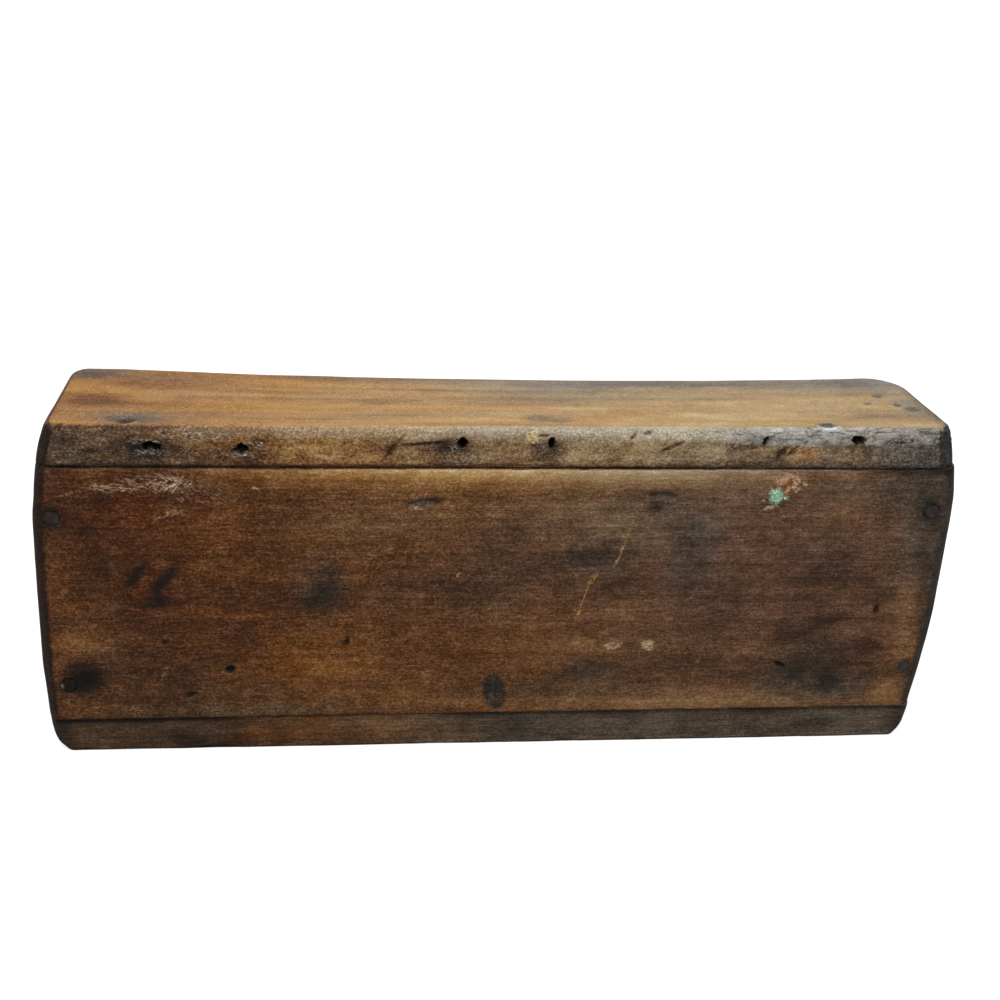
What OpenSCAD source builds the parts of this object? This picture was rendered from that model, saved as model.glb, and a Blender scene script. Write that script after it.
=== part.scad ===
// Antique tool caddy: a long narrow box of nailed boards under a hinged lid.
// The origin is the middle of the underside. +X runs along the box, the front faces -Y, +Z is up.
// All sizes are in millimetres.

/* [Box] */
// Length over the fullest point of the bowed ends
box_length = 434; // [400:1:520]
// Depth from the front face to the back face
box_depth = 82; // [74:1:120]
// Height from the underside to the top of the lid
box_height = 165.5; // [145:0.5:220]

/* [Boards] */
// Thickness of the lid board
lid_t = 19.5; // [18:0.5:26]
// Thickness of the bottom board
bottom_t = 17.5; // [15:0.5:24]
// Thickness of the front and back panels
panel_t = 13; // [12:0.5:18]
// Thickness of an end board at its fullest point
end_t = 20; // [18:0.5:26]
// How far the bottom board sits back from the panels
bottom_inset = 1; // [0.5:0.25:2]
// Gap between the closed lid and the box
lid_gap = 0.3; // [0.2:0.1:1]

/* [Worn ends and edges] */
// Radius of the bow of the left end, seen from the front
left_bow_r = 700; // [500:10:1200]
// Height of the fullest point of the left end
left_bow_z = 75; // [60:1:110]
// Radius of the bow of the right end, seen from the front
right_bow_r = 520; // [500:10:1200]
// Height of the fullest point of the right end
right_bow_z = 108; // [60:1:112]
// Radius of the tighter bow that the lid's ends are worn to
lid_bow_r = 320; // [300:10:900]
// Height of the centre of the lid's bow
lid_bow_z = 102; // [80:1:120]
// Rounding of the upright corners at the front
front_corner_r = 5; // [3:0.5:8]
// Rounding of the upright corners at the back
back_corner_r = 8; // [4:0.5:10]
// Rounding of the bottom board's lower ends
toe_r = 10; // [4:0.5:12]
// Rounding of the lid's upper front edge, rubbed by hands
lid_front_edge_r = 5.5; // [3:0.5:7]
// Rounding of the lid's upper back edge
lid_back_edge_r = 3; // [1.5:0.5:3.5]
// Rounding of the edges that meet at a seam
seam_edge_r = 1.2; // [0.6:0.1:1.8]
// Depth of the hollow worn into the lid's back edge
lid_hollow = 2.4; // [1:0.1:3]
// Half the length of that hollow
lid_hollow_half = 165; // [120:1:180]
// Place of the middle of the hollow along the lid
lid_hollow_x = 20; // [-30:1:30]

/* [Dividers] */
// Thickness of the two cross dividers
divider_t = 10; // [8:0.5:14]
// Height of the dividers above the bottom board
divider_h = 108; // [70:1:112]
// Width of each end bay, from the end board to the divider
end_bay_w = 62.7; // [40:0.1:90]
// Depth of the housings cut in the panels for the dividers
housing_depth = 4; // [3:0.5:6]
// Clearance round a divider in its housing
housing_fit = 0.2; // [0.1:0.05:0.4]

/* [Hinges] */
// Distance of the outer hinges' middles from the ends of the box
hinge_inset = 73.6; // [60:0.2:90]
// Length of a hinge along its barrel
hinge_w = 54; // [48:1:64]
// Thickness of the iron that the leaves are rolled from
leaf_t = 2; // [1.5:0.1:2.5]
// Height of the leaf on the box, from the pin
box_leaf_h = 24; // [19:0.5:34]
// Height of the leaf on the lid, from the pin
lid_leaf_h = 15; // [14:0.5:15.5]
// Number of knuckles in a hinge, an odd number
knuckle_n = 5; // [3:2:7]
// Gap between neighbouring knuckles
knuckle_gap = 0.3; // [0.2:0.05:0.6]
// Diameter of the hinge pin
pin_d = 3.2; // [2.6:0.1:4]
// Radial clearance of the pin in its knuckles
pin_fit = 0.05; // [0.03:0.01:0.1]
// Room between the barrel and the wood behind it
barrel_stand = 0.3; // [0.3:0.05:0.6]
// Diameter of the peened pin ends
pin_head_d = 5; // [4.6:0.1:6]
// Thickness of the peened pin ends
pin_head_t = 1.2; // [0.8:0.1:2]

/* [Nails] */
// Distance between the two nails of a leaf
hinge_nail_pitch = 40; // [30:0.5:42]
// Head diameter of a hinge nail
hinge_nail_head_d = 6; // [5:0.1:6.6]
// Length of a hinge nail
hinge_nail_len = 12; // [10:0.5:13]
// Shank diameter of a hinge nail
hinge_nail_d = 2.4; // [2:0.1:3]
// Head diameter of a box nail
nail_head_d = 7.4; // [6:0.1:8]
// Head thickness of a box nail
nail_head_t = 1.4; // [1:0.1:2]
// Shank diameter of a box nail
nail_d = 3; // [2.4:0.1:3.4]
// Length of a panel nail
panel_nail_len = 38; // [30:1:40]
// Length of a bottom nail
bottom_nail_len = 40; // [32:1:46]
// How far the bottom nails are set below the surface
bottom_nail_set = 0.6; // [0.4:0.1:2]
// Head diameter of a divider nail
brad_head_d = 3.8; // [3.2:0.1:4.4]
// Shank diameter of a divider nail
brad_d = 2.4; // [2:0.1:2.8]
// Length of a divider nail
brad_len = 26; // [20:1:32]
// How far the divider nails are punched below the surface
brad_set = 2.5; // [1.5:0.1:4]
// Height of the divider nails above the panel's foot
brad_z = 26; // [15:1:50]
// Radial clearance of the nails in the wood and the leaves
nail_fit = 0.08; // [0.05:0.01:0.12]
// Left upper panel nail: in from the end, down from the panel's top
left_upper_nail = [9.3, 24.9]; // [8:0.1:30]
// Left lower panel nail: in from the end, up from the panel's foot
left_lower_nail = [12.3, 18.4]; // [8:0.1:30]
// Right upper panel nail: in from the end, down from the panel's top
right_upper_nail = [10.1, 21.9]; // [8:0.1:30]
// Right lower panel nail: in from the end, up from the panel's foot
right_lower_nail = [12.3, 22.5]; // [8:0.1:30]
// Back panel nails: in from the ends, and from the panel's top and foot
back_nail = [14.5, 22]; // [12:0.1:30]
// Distance of the outermost bottom nails from the ends of the box
bottom_nail_inset = 74.5; // [62:0.5:84]
// Number of bottom nails along each panel
bottom_nail_n = 4; // [3:1:4]

/* [Old nail holes in the lid's front edge] */
// Diameter of an old nail hole
old_hole_d = 3.6; // [2.5:0.1:4.5]
// Depth of an old nail hole
old_hole_depth = 20; // [10:1:30]

/* [Hidden] */
$fn = 96;

LEFT = -1;
RIGHT = 1;
FRONT = -1;
BACK = 1;
HINGES = [-1, 0, 1];

// The bows of the ends, each a radius and the height of its centre
LEFT_BOW = [left_bow_r, left_bow_z];
RIGHT_BOW = [right_bow_r, right_bow_z];
LID_BOW = [lid_bow_r, lid_bow_z];

front_y = -box_depth / 2;
back_y = box_depth / 2;
lid_z = box_height - lid_t;
panel_top = lid_z - lid_gap;
panel_h = panel_top - bottom_t;
inner_half_x = box_length / 2 - end_t;
inner_half_y = box_depth / 2 - panel_t;
divider_x = inner_half_x - end_bay_w - divider_t / 2;
hinge_pitch = box_length / 2 - hinge_inset;

// The pin's axis lies behind the back face, in the middle of the seam under the lid
knuckle_r = pin_d / 2 + pin_fit + leaf_t;
axis_y = back_y + barrel_stand + knuckle_r;
axis_z = panel_top + lid_gap / 2;
knuckle_w = hinge_w / knuckle_n;
notch_r = knuckle_r + knuckle_gap;

// Places of the hinge nails, as a height on the plain part of each leaf
box_leaf_nail_z = axis_z - (notch_r + box_leaf_h) / 2;
lid_leaf_nail_z = axis_z + (notch_r + lid_leaf_h) / 2;
// A countersunk head tapers at 45 degrees from the leaf's face down to the shank
hinge_head_t = (hinge_nail_head_d - hinge_nail_d) / 2;

hollow_tilt = atan(lid_hollow / box_depth);

// Old nail holes: which hinge place, offset from it along the lid, height on the lid's edge.
// The lid once hung from this edge, so they lie in pairs at the hinges' spacing.
OLD_HOLES = [
    [-1, -19.8, 9.6], [-1, 21.4, 8.4],
    [0, -22.5, 11.5], [0, 17.5, 11.7],
    [1, -20.4, 13.4], [1, 22.1, 13.2]
];

// Panel nails of the front and of the back, each a place along the box and a height
FRONT_NAILS = [
    [LEFT * (box_length / 2 - left_upper_nail[0]), panel_top - left_upper_nail[1]],
    [LEFT * (box_length / 2 - left_lower_nail[0]), bottom_t + left_lower_nail[1]],
    [RIGHT * (box_length / 2 - right_upper_nail[0]), panel_top - right_upper_nail[1]],
    [RIGHT * (box_length / 2 - right_lower_nail[0]), bottom_t + right_lower_nail[1]]
];
BACK_NAILS = [
    for (side = [LEFT, RIGHT], z = [panel_top - back_nail[1], bottom_t + back_nail[1]])
        [side * (box_length / 2 - back_nail[0]), z]
];
// Places of the bottom nails along a panel, evenly spaced between the outermost two
bottom_nail_span = box_length - 2 * bottom_nail_inset;
BOTTOM_NAILS = [for (k = [0 : bottom_nail_n - 1]) bottom_nail_span * (k / (bottom_nail_n - 1) - 0.5)];

PINE = "#6b4426";
LID_PINE = "#8a673f";
DARK_PINE = "#4d4030";
IRON = "#3a322c";

// Waste outside a rounded corner, drawn from the rounding's centre towards sx, sy
// and reaching past the faces that it rounds
module corner_waste(r, sx, sy) {
    past = 3;
    reach = r + past;
    difference() {
        translate([sx > 0 ? 0 : -reach, sy > 0 ? 0 : -reach])
            square(reach);
        circle(r);
    }
}

// Places its children on the axis of an end's bow: their +X points out of the end, +Z to the back
module on_bow(side, bow) {
    mirror([side < 0 ? 1 : 0, 0, 0])
        translate([box_length / 2 - bow[0], 0, bow[1]])
            rotate([-90, 0, 0])
                children();
}

// Large drum on its side; its rim is the bowed end of the box
module bow_drum(r) {
    cylinder(h = 2 * box_depth, r = r, center = true, $fn = 360);
}

// Waste outside the rounded upright corners, swept along the rim of the bow.
// Each rounding lies a hair outwards, so that it crosses the faces it rounds at a slight angle.
module rim_waste(r) {
    sweep = 80;
    hair = 0.03;
    rotate([0, 0, -sweep / 2]) {
        rotate_extrude(angle = sweep, $fn = 360)
            translate([r - front_corner_r + hair, front_y + front_corner_r - hair])
                corner_waste(front_corner_r, 1, -1);
        rotate_extrude(angle = sweep, $fn = 360)
            translate([r - back_corner_r + hair, back_y - back_corner_r + hair])
                corner_waste(back_corner_r, 1, 1);
    }
}

// Cuts a board to bowed ends with rounded upright corners; a bow is a radius and a height
module bowed_ends(left, right) {
    difference() {
        intersection() {
            children();
            on_bow(LEFT, left)
                bow_drum(left[0]);
            on_bow(RIGHT, right)
                bow_drum(right[0]);
        }
        on_bow(LEFT, left)
            rim_waste(left[0]);
        on_bow(RIGHT, right)
            rim_waste(right[0]);
    }
}

// Bar along X from a section drawn in Y and Z
module along_x(length) {
    translate([-length / 2, 0, 0])
        rotate([90, 0, 90])
            linear_extrude(length)
                children();
}

// Board section from y0 to y1 and z0 to z1, with its corner roundings in the order
// front lower, front upper, back lower, back upper; a rounding of 0 leaves the corner sharp
module board_section(y0, y1, z0, z1, r) {
    difference() {
        translate([y0, z0])
            square([y1 - y0, z1 - z0]);
        if (r[0] > 0)
            translate([y0 + r[0], z0 + r[0]]) corner_waste(r[0], -1, -1);
        if (r[1] > 0)
            translate([y0 + r[1], z1 - r[1]]) corner_waste(r[1], -1, 1);
        if (r[2] > 0)
            translate([y1 - r[2], z0 + r[2]]) corner_waste(r[2], 1, -1);
        if (r[3] > 0)
            translate([y1 - r[3], z1 - r[3]]) corner_waste(r[3], 1, 1);
    }
}

// Waste below the rounded lower end of the bottom board.
// The rounding touches the underside and the bow disc from inside, so its centre is toe_r above
// the underside and the disc's radius less toe_r from the disc's centre.
module toe_waste(side, bow) {
    drop = bow[1] - toe_r;
    reach = sqrt((bow[0] - toe_r) ^ 2 - drop ^ 2);
    centre_x = box_length / 2 - bow[0] + reach;
    touch_z = toe_r - toe_r * drop / (bow[0] - toe_r);
    mirror([side < 0 ? 1 : 0, 0, 0])
        rotate([90, 0, 0])
            linear_extrude(2 * box_depth, center = true)
                difference() {
                    translate([centre_x, -toe_r])
                        square([3 * toe_r, toe_r + touch_z]);
                    translate([centre_x, toe_r])
                        circle(toe_r);
                }
}

// Round nail that points along +Z, with its head's top at the given depth below the surface
module nail(length, head_d, head_t, d, set) {
    point = 1.5 * d;
    translate([0, 0, set])
        rotate_extrude()
            polygon([
                [0, 0], [head_d / 2, 0], [head_d / 2, head_t], [d / 2, head_t],
                [d / 2, length - point], [0, length]
            ]);
}

// The hole that such a nail fills, open to the surface
module nail_hole(length, head_d, head_t, d, set) {
    mouth = 1;
    translate([0, 0, -mouth])
        cylinder(h = mouth + set + head_t, d = head_d + 2 * nail_fit);
    cylinder(h = set + length + nail_fit, d = d + 2 * nail_fit);
}

module box_nail(length, set) {
    nail(length, nail_head_d, nail_head_t, nail_d, set);
}

module box_nail_hole(length, set) {
    nail_hole(length, nail_head_d, nail_head_t, nail_d, set);
}

module brad() {
    nail(brad_len, brad_head_d, nail_head_t, brad_d, brad_set);
}

module brad_hole() {
    nail_hole(brad_len, brad_head_d, nail_head_t, brad_d, brad_set);
}

// Countersunk hinge nail: its head lies flush with the leaf's outer face
module hinge_nail() {
    point = 1.5 * hinge_nail_d;
    rotate_extrude()
        polygon([
            [0, 0], [hinge_nail_head_d / 2, 0], [hinge_nail_d / 2, hinge_head_t],
            [hinge_nail_d / 2, hinge_nail_len - point], [0, hinge_nail_len]
        ]);
}

// The countersunk hole for a hinge nail, through the leaf and into the wood
module hinge_nail_hole() {
    rotate_extrude()
        polygon([
            [0, 0], [hinge_nail_head_d / 2 + nail_fit, 0],
            [hinge_nail_d / 2 + nail_fit, hinge_head_t],
            [hinge_nail_d / 2 + nail_fit, hinge_nail_len + nail_fit],
            [0, hinge_nail_len + nail_fit]
        ]);
}

// Places its children at the panel nails of the front or back face, pointing into the wood
module at_panel_nails(face) {
    for (place = face == FRONT ? FRONT_NAILS : BACK_NAILS)
        translate([place[0], face * box_depth / 2, place[1]])
            rotate([face * 90, 0, 0])
                children();
}

// Places its children at the divider nails of the front or back face
module at_divider_nails(face) {
    for (side = [LEFT, RIGHT])
        translate([side * divider_x, face * box_depth / 2, bottom_t + brad_z])
            rotate([face * 90, 0, 0])
                children();
}

// Places its children under the middle of one panel, pointing up
module at_bottom_nails(face) {
    for (x = BOTTOM_NAILS)
        translate([x, face * (inner_half_y + panel_t / 2), 0])
            children();
}

// Places its children at a hinge's two nails at height z, pointing into the wood
module at_hinge_nails(hinge, z) {
    for (side = [LEFT, RIGHT])
        translate([hinge * hinge_pitch + side * hinge_nail_pitch / 2, back_y + leaf_t, z])
            rotate([90, 0, 0])
                children();
}

module bottom_board() {
    color(DARK_PINE)
        difference() {
            bowed_ends(LEFT_BOW, RIGHT_BOW)
                along_x(box_length)
                    board_section(front_y + bottom_inset, back_y - bottom_inset, 0, bottom_t,
                        [seam_edge_r, 0, seam_edge_r, 0]);
            toe_waste(LEFT, LEFT_BOW);
            toe_waste(RIGHT, RIGHT_BOW);
            for (face = [FRONT, BACK])
                at_bottom_nails(face)
                    box_nail_hole(bottom_nail_len, bottom_nail_set);
        }
}

// A long panel with its outer edges eased and housings for the dividers in its inner face
module panel(face) {
    inner_y = face * inner_half_y;
    outer_y = face * box_depth / 2;
    eased = face == FRONT ? [seam_edge_r, seam_edge_r, 0, 0] : [0, 0, seam_edge_r, seam_edge_r];
    housing_w = divider_t + 2 * housing_fit;
    difference() {
        bowed_ends(LEFT_BOW, RIGHT_BOW)
            along_x(box_length)
                board_section(min(inner_y, outer_y), max(inner_y, outer_y), bottom_t, panel_top, eased);
        for (side = [LEFT, RIGHT])
            translate([side * divider_x, inner_y, bottom_t + panel_h / 2])
                cube([housing_w, 2 * housing_depth, 2 * panel_h], center = true);
        at_panel_nails(face)
            box_nail_hole(panel_nail_len, 0);
        at_divider_nails(face)
            brad_hole();
        at_bottom_nails(face)
            box_nail_hole(bottom_nail_len, bottom_nail_set);
    }
}

module front_panel() {
    color(PINE)
        panel(FRONT);
}

module back_panel() {
    color(PINE)
        difference() {
            panel(BACK);
            for (hinge = HINGES)
                at_hinge_nails(hinge, box_leaf_nail_z)
                    hinge_nail_hole();
        }
}

// An end board stands between the panels; its outer face is bowed with the box's end
module end_board(side) {
    difference() {
        bowed_ends(LEFT_BOW, RIGHT_BOW)
            translate([side > 0 ? inner_half_x : -inner_half_x - end_t, -inner_half_y, bottom_t])
                cube([end_t, 2 * inner_half_y, panel_h]);
        for (face = [FRONT, BACK])
            at_panel_nails(face)
                box_nail_hole(panel_nail_len, 0);
    }
}

module left_end_board() {
    color(PINE)
        end_board(LEFT);
}

module right_end_board() {
    color(PINE)
        end_board(RIGHT);
}

// A divider slides down its two housings to the bottom board; its upper edge is rounded over
module divider(side) {
    half_y = inner_half_y + housing_depth - housing_fit;
    edge_r = divider_t / 4;
    difference() {
        translate([side * divider_x, 0, 0])
            rotate([90, 0, 0])
                linear_extrude(2 * half_y, center = true)
                    board_section(-divider_t / 2, divider_t / 2, bottom_t, bottom_t + divider_h,
                        [0, edge_r, 0, edge_r]);
        for (face = [FRONT, BACK])
            at_divider_nails(face)
                brad_hole();
    }
}

module left_divider() {
    color(PINE)
        divider(LEFT);
}

module right_divider() {
    color(PINE)
        divider(RIGHT);
}

// Waste above the worn hollow: a shallow parabola along the lid, in short steps of its half length,
// sloping from nothing at the front edge to its full depth at the back
module hollow_waste() {
    headroom = 20;
    reach = 1.5;
    curve = [for (s = [-reach : 0.125 : reach]) [s * lid_hollow_half, lid_hollow * s ^ 2]];
    translate([lid_hollow_x, front_y, box_height])
        rotate([90 - hollow_tilt, 0, 0])
            linear_extrude(4 * box_depth, center = true)
                polygon(concat(curve, [
                    [reach * lid_hollow_half, headroom], [-reach * lid_hollow_half, headroom]
                ]));
}

module lid_board() {
    color(LID_PINE)
        difference() {
            bowed_ends(LID_BOW, LID_BOW)
                along_x(box_length)
                    board_section(front_y, back_y, lid_z, box_height,
                        [seam_edge_r, lid_front_edge_r, seam_edge_r, lid_back_edge_r]);
            hollow_waste();
            for (hole = OLD_HOLES)
                translate([hole[0] * hinge_pitch + hole[1], front_y, lid_z + hole[2]])
                    rotate([90, 0, 0])
                        cylinder(h = 2 * old_hole_depth, d = old_hole_d, center = true);
            for (hinge = HINGES)
                at_hinge_nails(hinge, lid_leaf_nail_z)
                    hinge_nail_hole();
        }
}

// Places its children at each knuckle that belongs to one leaf: the box leaf has the even ones
module at_knuckles(first) {
    for (k = [first : 2 : knuckle_n - 1])
        translate([-hinge_w / 2 + (k + 0.5) * knuckle_w, 0, 0])
            children();
}

// A leaf in the frame of its pin: the plate goes up (+1) or down (-1) from the pin
// and is rolled round it at its own knuckles
module leaf(up, height, first_knuckle) {
    own_w = knuckle_w - knuckle_gap;
    plate_y = -knuckle_r - barrel_stand;
    difference() {
        union() {
            translate([-hinge_w / 2, plate_y, up > 0 ? notch_r : -height])
                cube([hinge_w, leaf_t, height - notch_r]);
            at_knuckles(first_knuckle) {
                translate([-own_w / 2, plate_y, up > 0 ? 0 : -notch_r])
                    cube([own_w, leaf_t, notch_r]);
                rotate([0, 90, 0])
                    cylinder(h = own_w, r = knuckle_r, center = true);
            }
        }
        rotate([0, 90, 0])
            cylinder(h = 2 * hinge_w, r = pin_d / 2 + pin_fit, center = true);
    }
}

module box_leaf(hinge) {
    color(IRON)
        difference() {
            translate([hinge * hinge_pitch, axis_y, axis_z])
                leaf(-1, box_leaf_h, 0);
            at_hinge_nails(hinge, box_leaf_nail_z)
                hinge_nail_hole();
        }
}

module lid_leaf(hinge) {
    color(IRON)
        difference() {
            translate([hinge * hinge_pitch, axis_y, axis_z])
                leaf(1, lid_leaf_h, 1);
            at_hinge_nails(hinge, lid_leaf_nail_z)
                hinge_nail_hole();
        }
}

// The pin fills the barrel and is peened over at both ends
module hinge_pin(hinge) {
    color(IRON)
        translate([hinge * hinge_pitch, axis_y, axis_z])
            rotate([0, 90, 0]) {
                cylinder(h = hinge_w, d = pin_d, center = true);
                for (end = [LEFT, RIGHT])
                    translate([0, 0, end * (hinge_w + pin_head_t) / 2])
                        cylinder(h = pin_head_t, d = pin_head_d, center = true);
            }
}

module front_panel_nails() {
    color(IRON)
        at_panel_nails(FRONT)
            box_nail(panel_nail_len, 0);
}

module back_panel_nails() {
    color(IRON)
        at_panel_nails(BACK)
            box_nail(panel_nail_len, 0);
}

module bottom_nails() {
    color(IRON)
        for (face = [FRONT, BACK])
            at_bottom_nails(face)
                box_nail(bottom_nail_len, bottom_nail_set);
}

module divider_nails() {
    color(IRON)
        for (face = [FRONT, BACK])
            at_divider_nails(face)
                brad();
}

module hinge_nails(z) {
    color(IRON)
        for (hinge = HINGES)
            at_hinge_nails(hinge, z)
                hinge_nail();
}

module hinge_box_nails() {
    hinge_nails(box_leaf_nail_z);
}

module hinge_lid_nails() {
    hinge_nails(lid_leaf_nail_z);
}

bottom_board();
front_panel();
back_panel();
left_end_board();
right_end_board();
left_divider();
right_divider();
lid_board();
box_leaf(LEFT);  // left_hinge_box_leaf
box_leaf(0);  // middle_hinge_box_leaf
box_leaf(RIGHT);  // right_hinge_box_leaf
lid_leaf(LEFT);  // left_hinge_lid_leaf
lid_leaf(0);  // middle_hinge_lid_leaf
lid_leaf(RIGHT);  // right_hinge_lid_leaf
hinge_pin(LEFT);  // left_hinge_pin
hinge_pin(0);  // middle_hinge_pin
hinge_pin(RIGHT);  // right_hinge_pin
front_panel_nails();
back_panel_nails();
bottom_nails();
divider_nails();
hinge_box_nails();
hinge_lid_nails();
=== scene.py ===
# %% [markdown]
# An old tool caddy: a long narrow box of nailed pine boards under a lid on three iron hinges.
# The CAD part brings every size, every piece and the lid's hinge. Blender adds what years of use
# did to it: rubbed corners, dents, nail holes, stains and rust. Each CAD node gets a worn piece that
# stands for it in the same place, so the box still opens and closes as the CAD says.

import bmesh
import bpy
import numpy as np
from mathutils import Matrix, Vector


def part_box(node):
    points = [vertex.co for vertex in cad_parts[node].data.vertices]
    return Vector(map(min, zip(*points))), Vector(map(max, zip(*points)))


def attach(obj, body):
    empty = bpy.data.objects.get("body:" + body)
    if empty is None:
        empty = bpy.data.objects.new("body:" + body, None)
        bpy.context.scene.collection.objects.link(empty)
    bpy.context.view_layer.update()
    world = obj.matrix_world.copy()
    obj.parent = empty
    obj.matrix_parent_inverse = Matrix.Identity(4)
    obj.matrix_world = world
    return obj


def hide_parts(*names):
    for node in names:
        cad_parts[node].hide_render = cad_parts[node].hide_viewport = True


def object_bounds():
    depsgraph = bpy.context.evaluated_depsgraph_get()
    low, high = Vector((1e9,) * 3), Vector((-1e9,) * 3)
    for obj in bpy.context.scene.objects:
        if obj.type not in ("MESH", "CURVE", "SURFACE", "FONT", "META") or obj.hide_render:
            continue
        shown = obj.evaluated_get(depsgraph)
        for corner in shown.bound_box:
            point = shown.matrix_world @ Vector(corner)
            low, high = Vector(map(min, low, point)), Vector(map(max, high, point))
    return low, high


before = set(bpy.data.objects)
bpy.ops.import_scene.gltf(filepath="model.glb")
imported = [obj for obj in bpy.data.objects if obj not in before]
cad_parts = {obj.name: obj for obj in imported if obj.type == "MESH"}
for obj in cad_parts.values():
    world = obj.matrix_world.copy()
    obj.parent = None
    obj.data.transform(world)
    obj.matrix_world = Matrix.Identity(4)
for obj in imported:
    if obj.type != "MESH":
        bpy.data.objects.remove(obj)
cad_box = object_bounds()
MM = 0.001


def node_box(node):
    """Lowest and highest corner of a CAD node, in millimetres."""
    return [np.array(corner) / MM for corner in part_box(node)]


HALF_LENGTH = cad_box[1][0] / MM
HALF_DEPTH = node_box("back_panel")[1][1]
print("caddy", np.round((np.array(cad_box[1]) - np.array(cad_box[0])) / MM, 1), "mm")

# %% [markdown]
# The camera stands where the photographer stood. Its place and its three turns come from a pinhole
# camera fitted to the box's long edges: 7 degrees to the right, 21 degrees down, tilted by 3 degrees.
# A focal length of 1500 pixels on a picture 1000 pixels wide is a 54 mm lens on a 36 mm sensor.

# %% Camera
IMAGE_PIXELS, FOCAL_PIXELS, SENSOR_MM = 1000, 1500, 36
CAMERA_PLACE = np.array([-86.9, -686.2, 381.9])
YAW, PITCH, ROLL = np.radians([7.329, 21.16, 2.665])

camera = bpy.data.objects.new("camera", bpy.data.cameras.new("camera"))
camera.data.sensor_width = SENSOR_MM
camera.data.lens = SENSOR_MM * FOCAL_PIXELS / IMAGE_PIXELS
camera.matrix_world = (
    Matrix.Translation(CAMERA_PLACE * MM)
    @ Matrix.Rotation(-YAW, 4, "Z")
    @ Matrix.Rotation(np.pi / 2 - PITCH, 4, "X")
    @ Matrix.Rotation(ROLL, 4, "Z")
)
scene = bpy.context.scene
scene.collection.objects.link(camera)
scene.camera = camera
scene.view_settings.view_transform = "Standard"
print("lens", camera.data.lens, "mm")

# %% [markdown]
# Every finish below is a small node tree. One helper adds a node, sets its own settings and fills
# its inputs: an output socket is linked, anything else is written on the input. A second helper turns
# a hex colour, as a paint chart gives it, into the linear light values that shaders work in.

# %% Node and colour helpers
def linear(hex_colour):
    """sRGB hex to linear RGBA: below 0.04045 a straight line, above it a power of 2.4."""
    v = np.array([int(hex_colour[i : i + 2], 16) for i in (1, 3, 5)]) / 255
    rgb = np.where(v <= 0.04045, v / 12.92, ((v + 0.055) / 1.055) ** 2.4)
    return (*rgb.tolist(), 1.0)


def add(tree, kind, inputs=None, **settings):
    """Adds one node; a socket among the inputs is linked, and any other input is set as a value."""
    node = tree.nodes.new(kind)
    for key, value in settings.items():
        setattr(node, key, value)
    for key, value in (inputs or {}).items():
        if isinstance(value, bpy.types.NodeSocket):
            tree.links.new(value, node.inputs[key])
        else:
            node.inputs[key].default_value = value
    return node


def new_tree(holder):
    """Turns on the nodes of a material or world and empties its tree."""
    holder.use_nodes = True
    holder.node_tree.nodes.clear()
    return holder.node_tree


print("old shellac brown in linear light", np.round(linear("#4d321f")[:3], 3))

# %% [markdown]
# The object stands on a plain pale floor in front of white. The camera, and rays that reflections
# send out, see a white world; the light that falls on the wood comes from a weaker one. The floor
# adds a little white of its own for the camera alone, so that it looks white and still takes the
# caddy's soft shadow. That keeps the background out of the lighting.

# %% White surroundings and floor
AMBIENT = 0.48
FLOOR_LIFT = 0.74
FLOOR_HALF = 12.0
PAPER_COLOUR = "#cfcfce"

world = bpy.data.worlds.new("white_room")
scene.world = world
tree = new_tree(world)
ray = add(tree, "ShaderNodeLightPath").outputs
seen = add(tree, "ShaderNodeMath", {0: ray["Is Camera Ray"], 1: ray["Is Glossy Ray"]}, operation="MAXIMUM")
seen = add(tree, "ShaderNodeMath", {0: seen.outputs[0], 1: ray["Is Transmission Ray"]}, operation="MAXIMUM")
level = add(tree, "ShaderNodeMapRange", {"Value": seen.outputs[0], "To Min": AMBIENT, "To Max": 1.0})
sky = add(tree, "ShaderNodeBackground", {"Color": (1, 1, 1, 1), "Strength": level.outputs[0]})
add(tree, "ShaderNodeOutputWorld", {"Surface": sky.outputs[0]})

# Matt studio paper: rough, and without gloss of its own
paper = bpy.data.materials.new("pale_paper")
tree = new_tree(paper)
ray = add(tree, "ShaderNodeLightPath").outputs
lift = add(tree, "ShaderNodeMath", {0: ray["Is Camera Ray"], 1: FLOOR_LIFT}, operation="MULTIPLY")
surface = add(
    tree, "ShaderNodeBsdfPrincipled",
    {
        "Base Color": linear(PAPER_COLOUR), "Roughness": 0.95, "Specular IOR Level": 0.0,
        "Emission Color": (1, 1, 1, 1), "Emission Strength": lift.outputs[0],
    },
)
add(tree, "ShaderNodeOutputMaterial", {"Surface": surface.outputs[0]})

corners = np.array([[-1, -1, 0], [1, -1, 0], [1, 1, 0], [-1, 1, 0]]) * FLOOR_HALF
floor_mesh = bpy.data.meshes.new("floor")
floor_mesh.from_pydata(corners.tolist(), [], [[0, 1, 2, 3]])
floor_mesh.materials.append(paper)
floor = bpy.data.objects.new("floor", floor_mesh)
scene.collection.objects.link(floor)
print("floor", 2 * FLOOR_HALF, "m wide")

# %% [markdown]
# One wide lamp hangs above and a little in front, as a ceiling light or a window would. It makes the
# lid about half as bright again as the front, which is what the photo shows on wood of one age.
# Together with the surroundings it lights a white board to about white, so colours look as written.

# %% Lamp
LAMP_PLACE = np.array([-160, -380, 1150]) * MM
LAMP_SIZE = (1.5, 0.9)
LAMP_WATTS = 9.0

lamp_data = bpy.data.lights.new("overhead", "AREA")
lamp_data.shape = "RECTANGLE"
lamp_data.size, lamp_data.size_y = LAMP_SIZE
lamp_data.energy = LAMP_WATTS
lamp = bpy.data.objects.new("overhead", lamp_data)
lamp.location = LAMP_PLACE
lamp.rotation_euler = Vector(-LAMP_PLACE).to_track_quat("-Z", "Y").to_euler()
scene.collection.objects.link(lamp)
print("lamp", LAMP_WATTS, "W")

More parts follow.
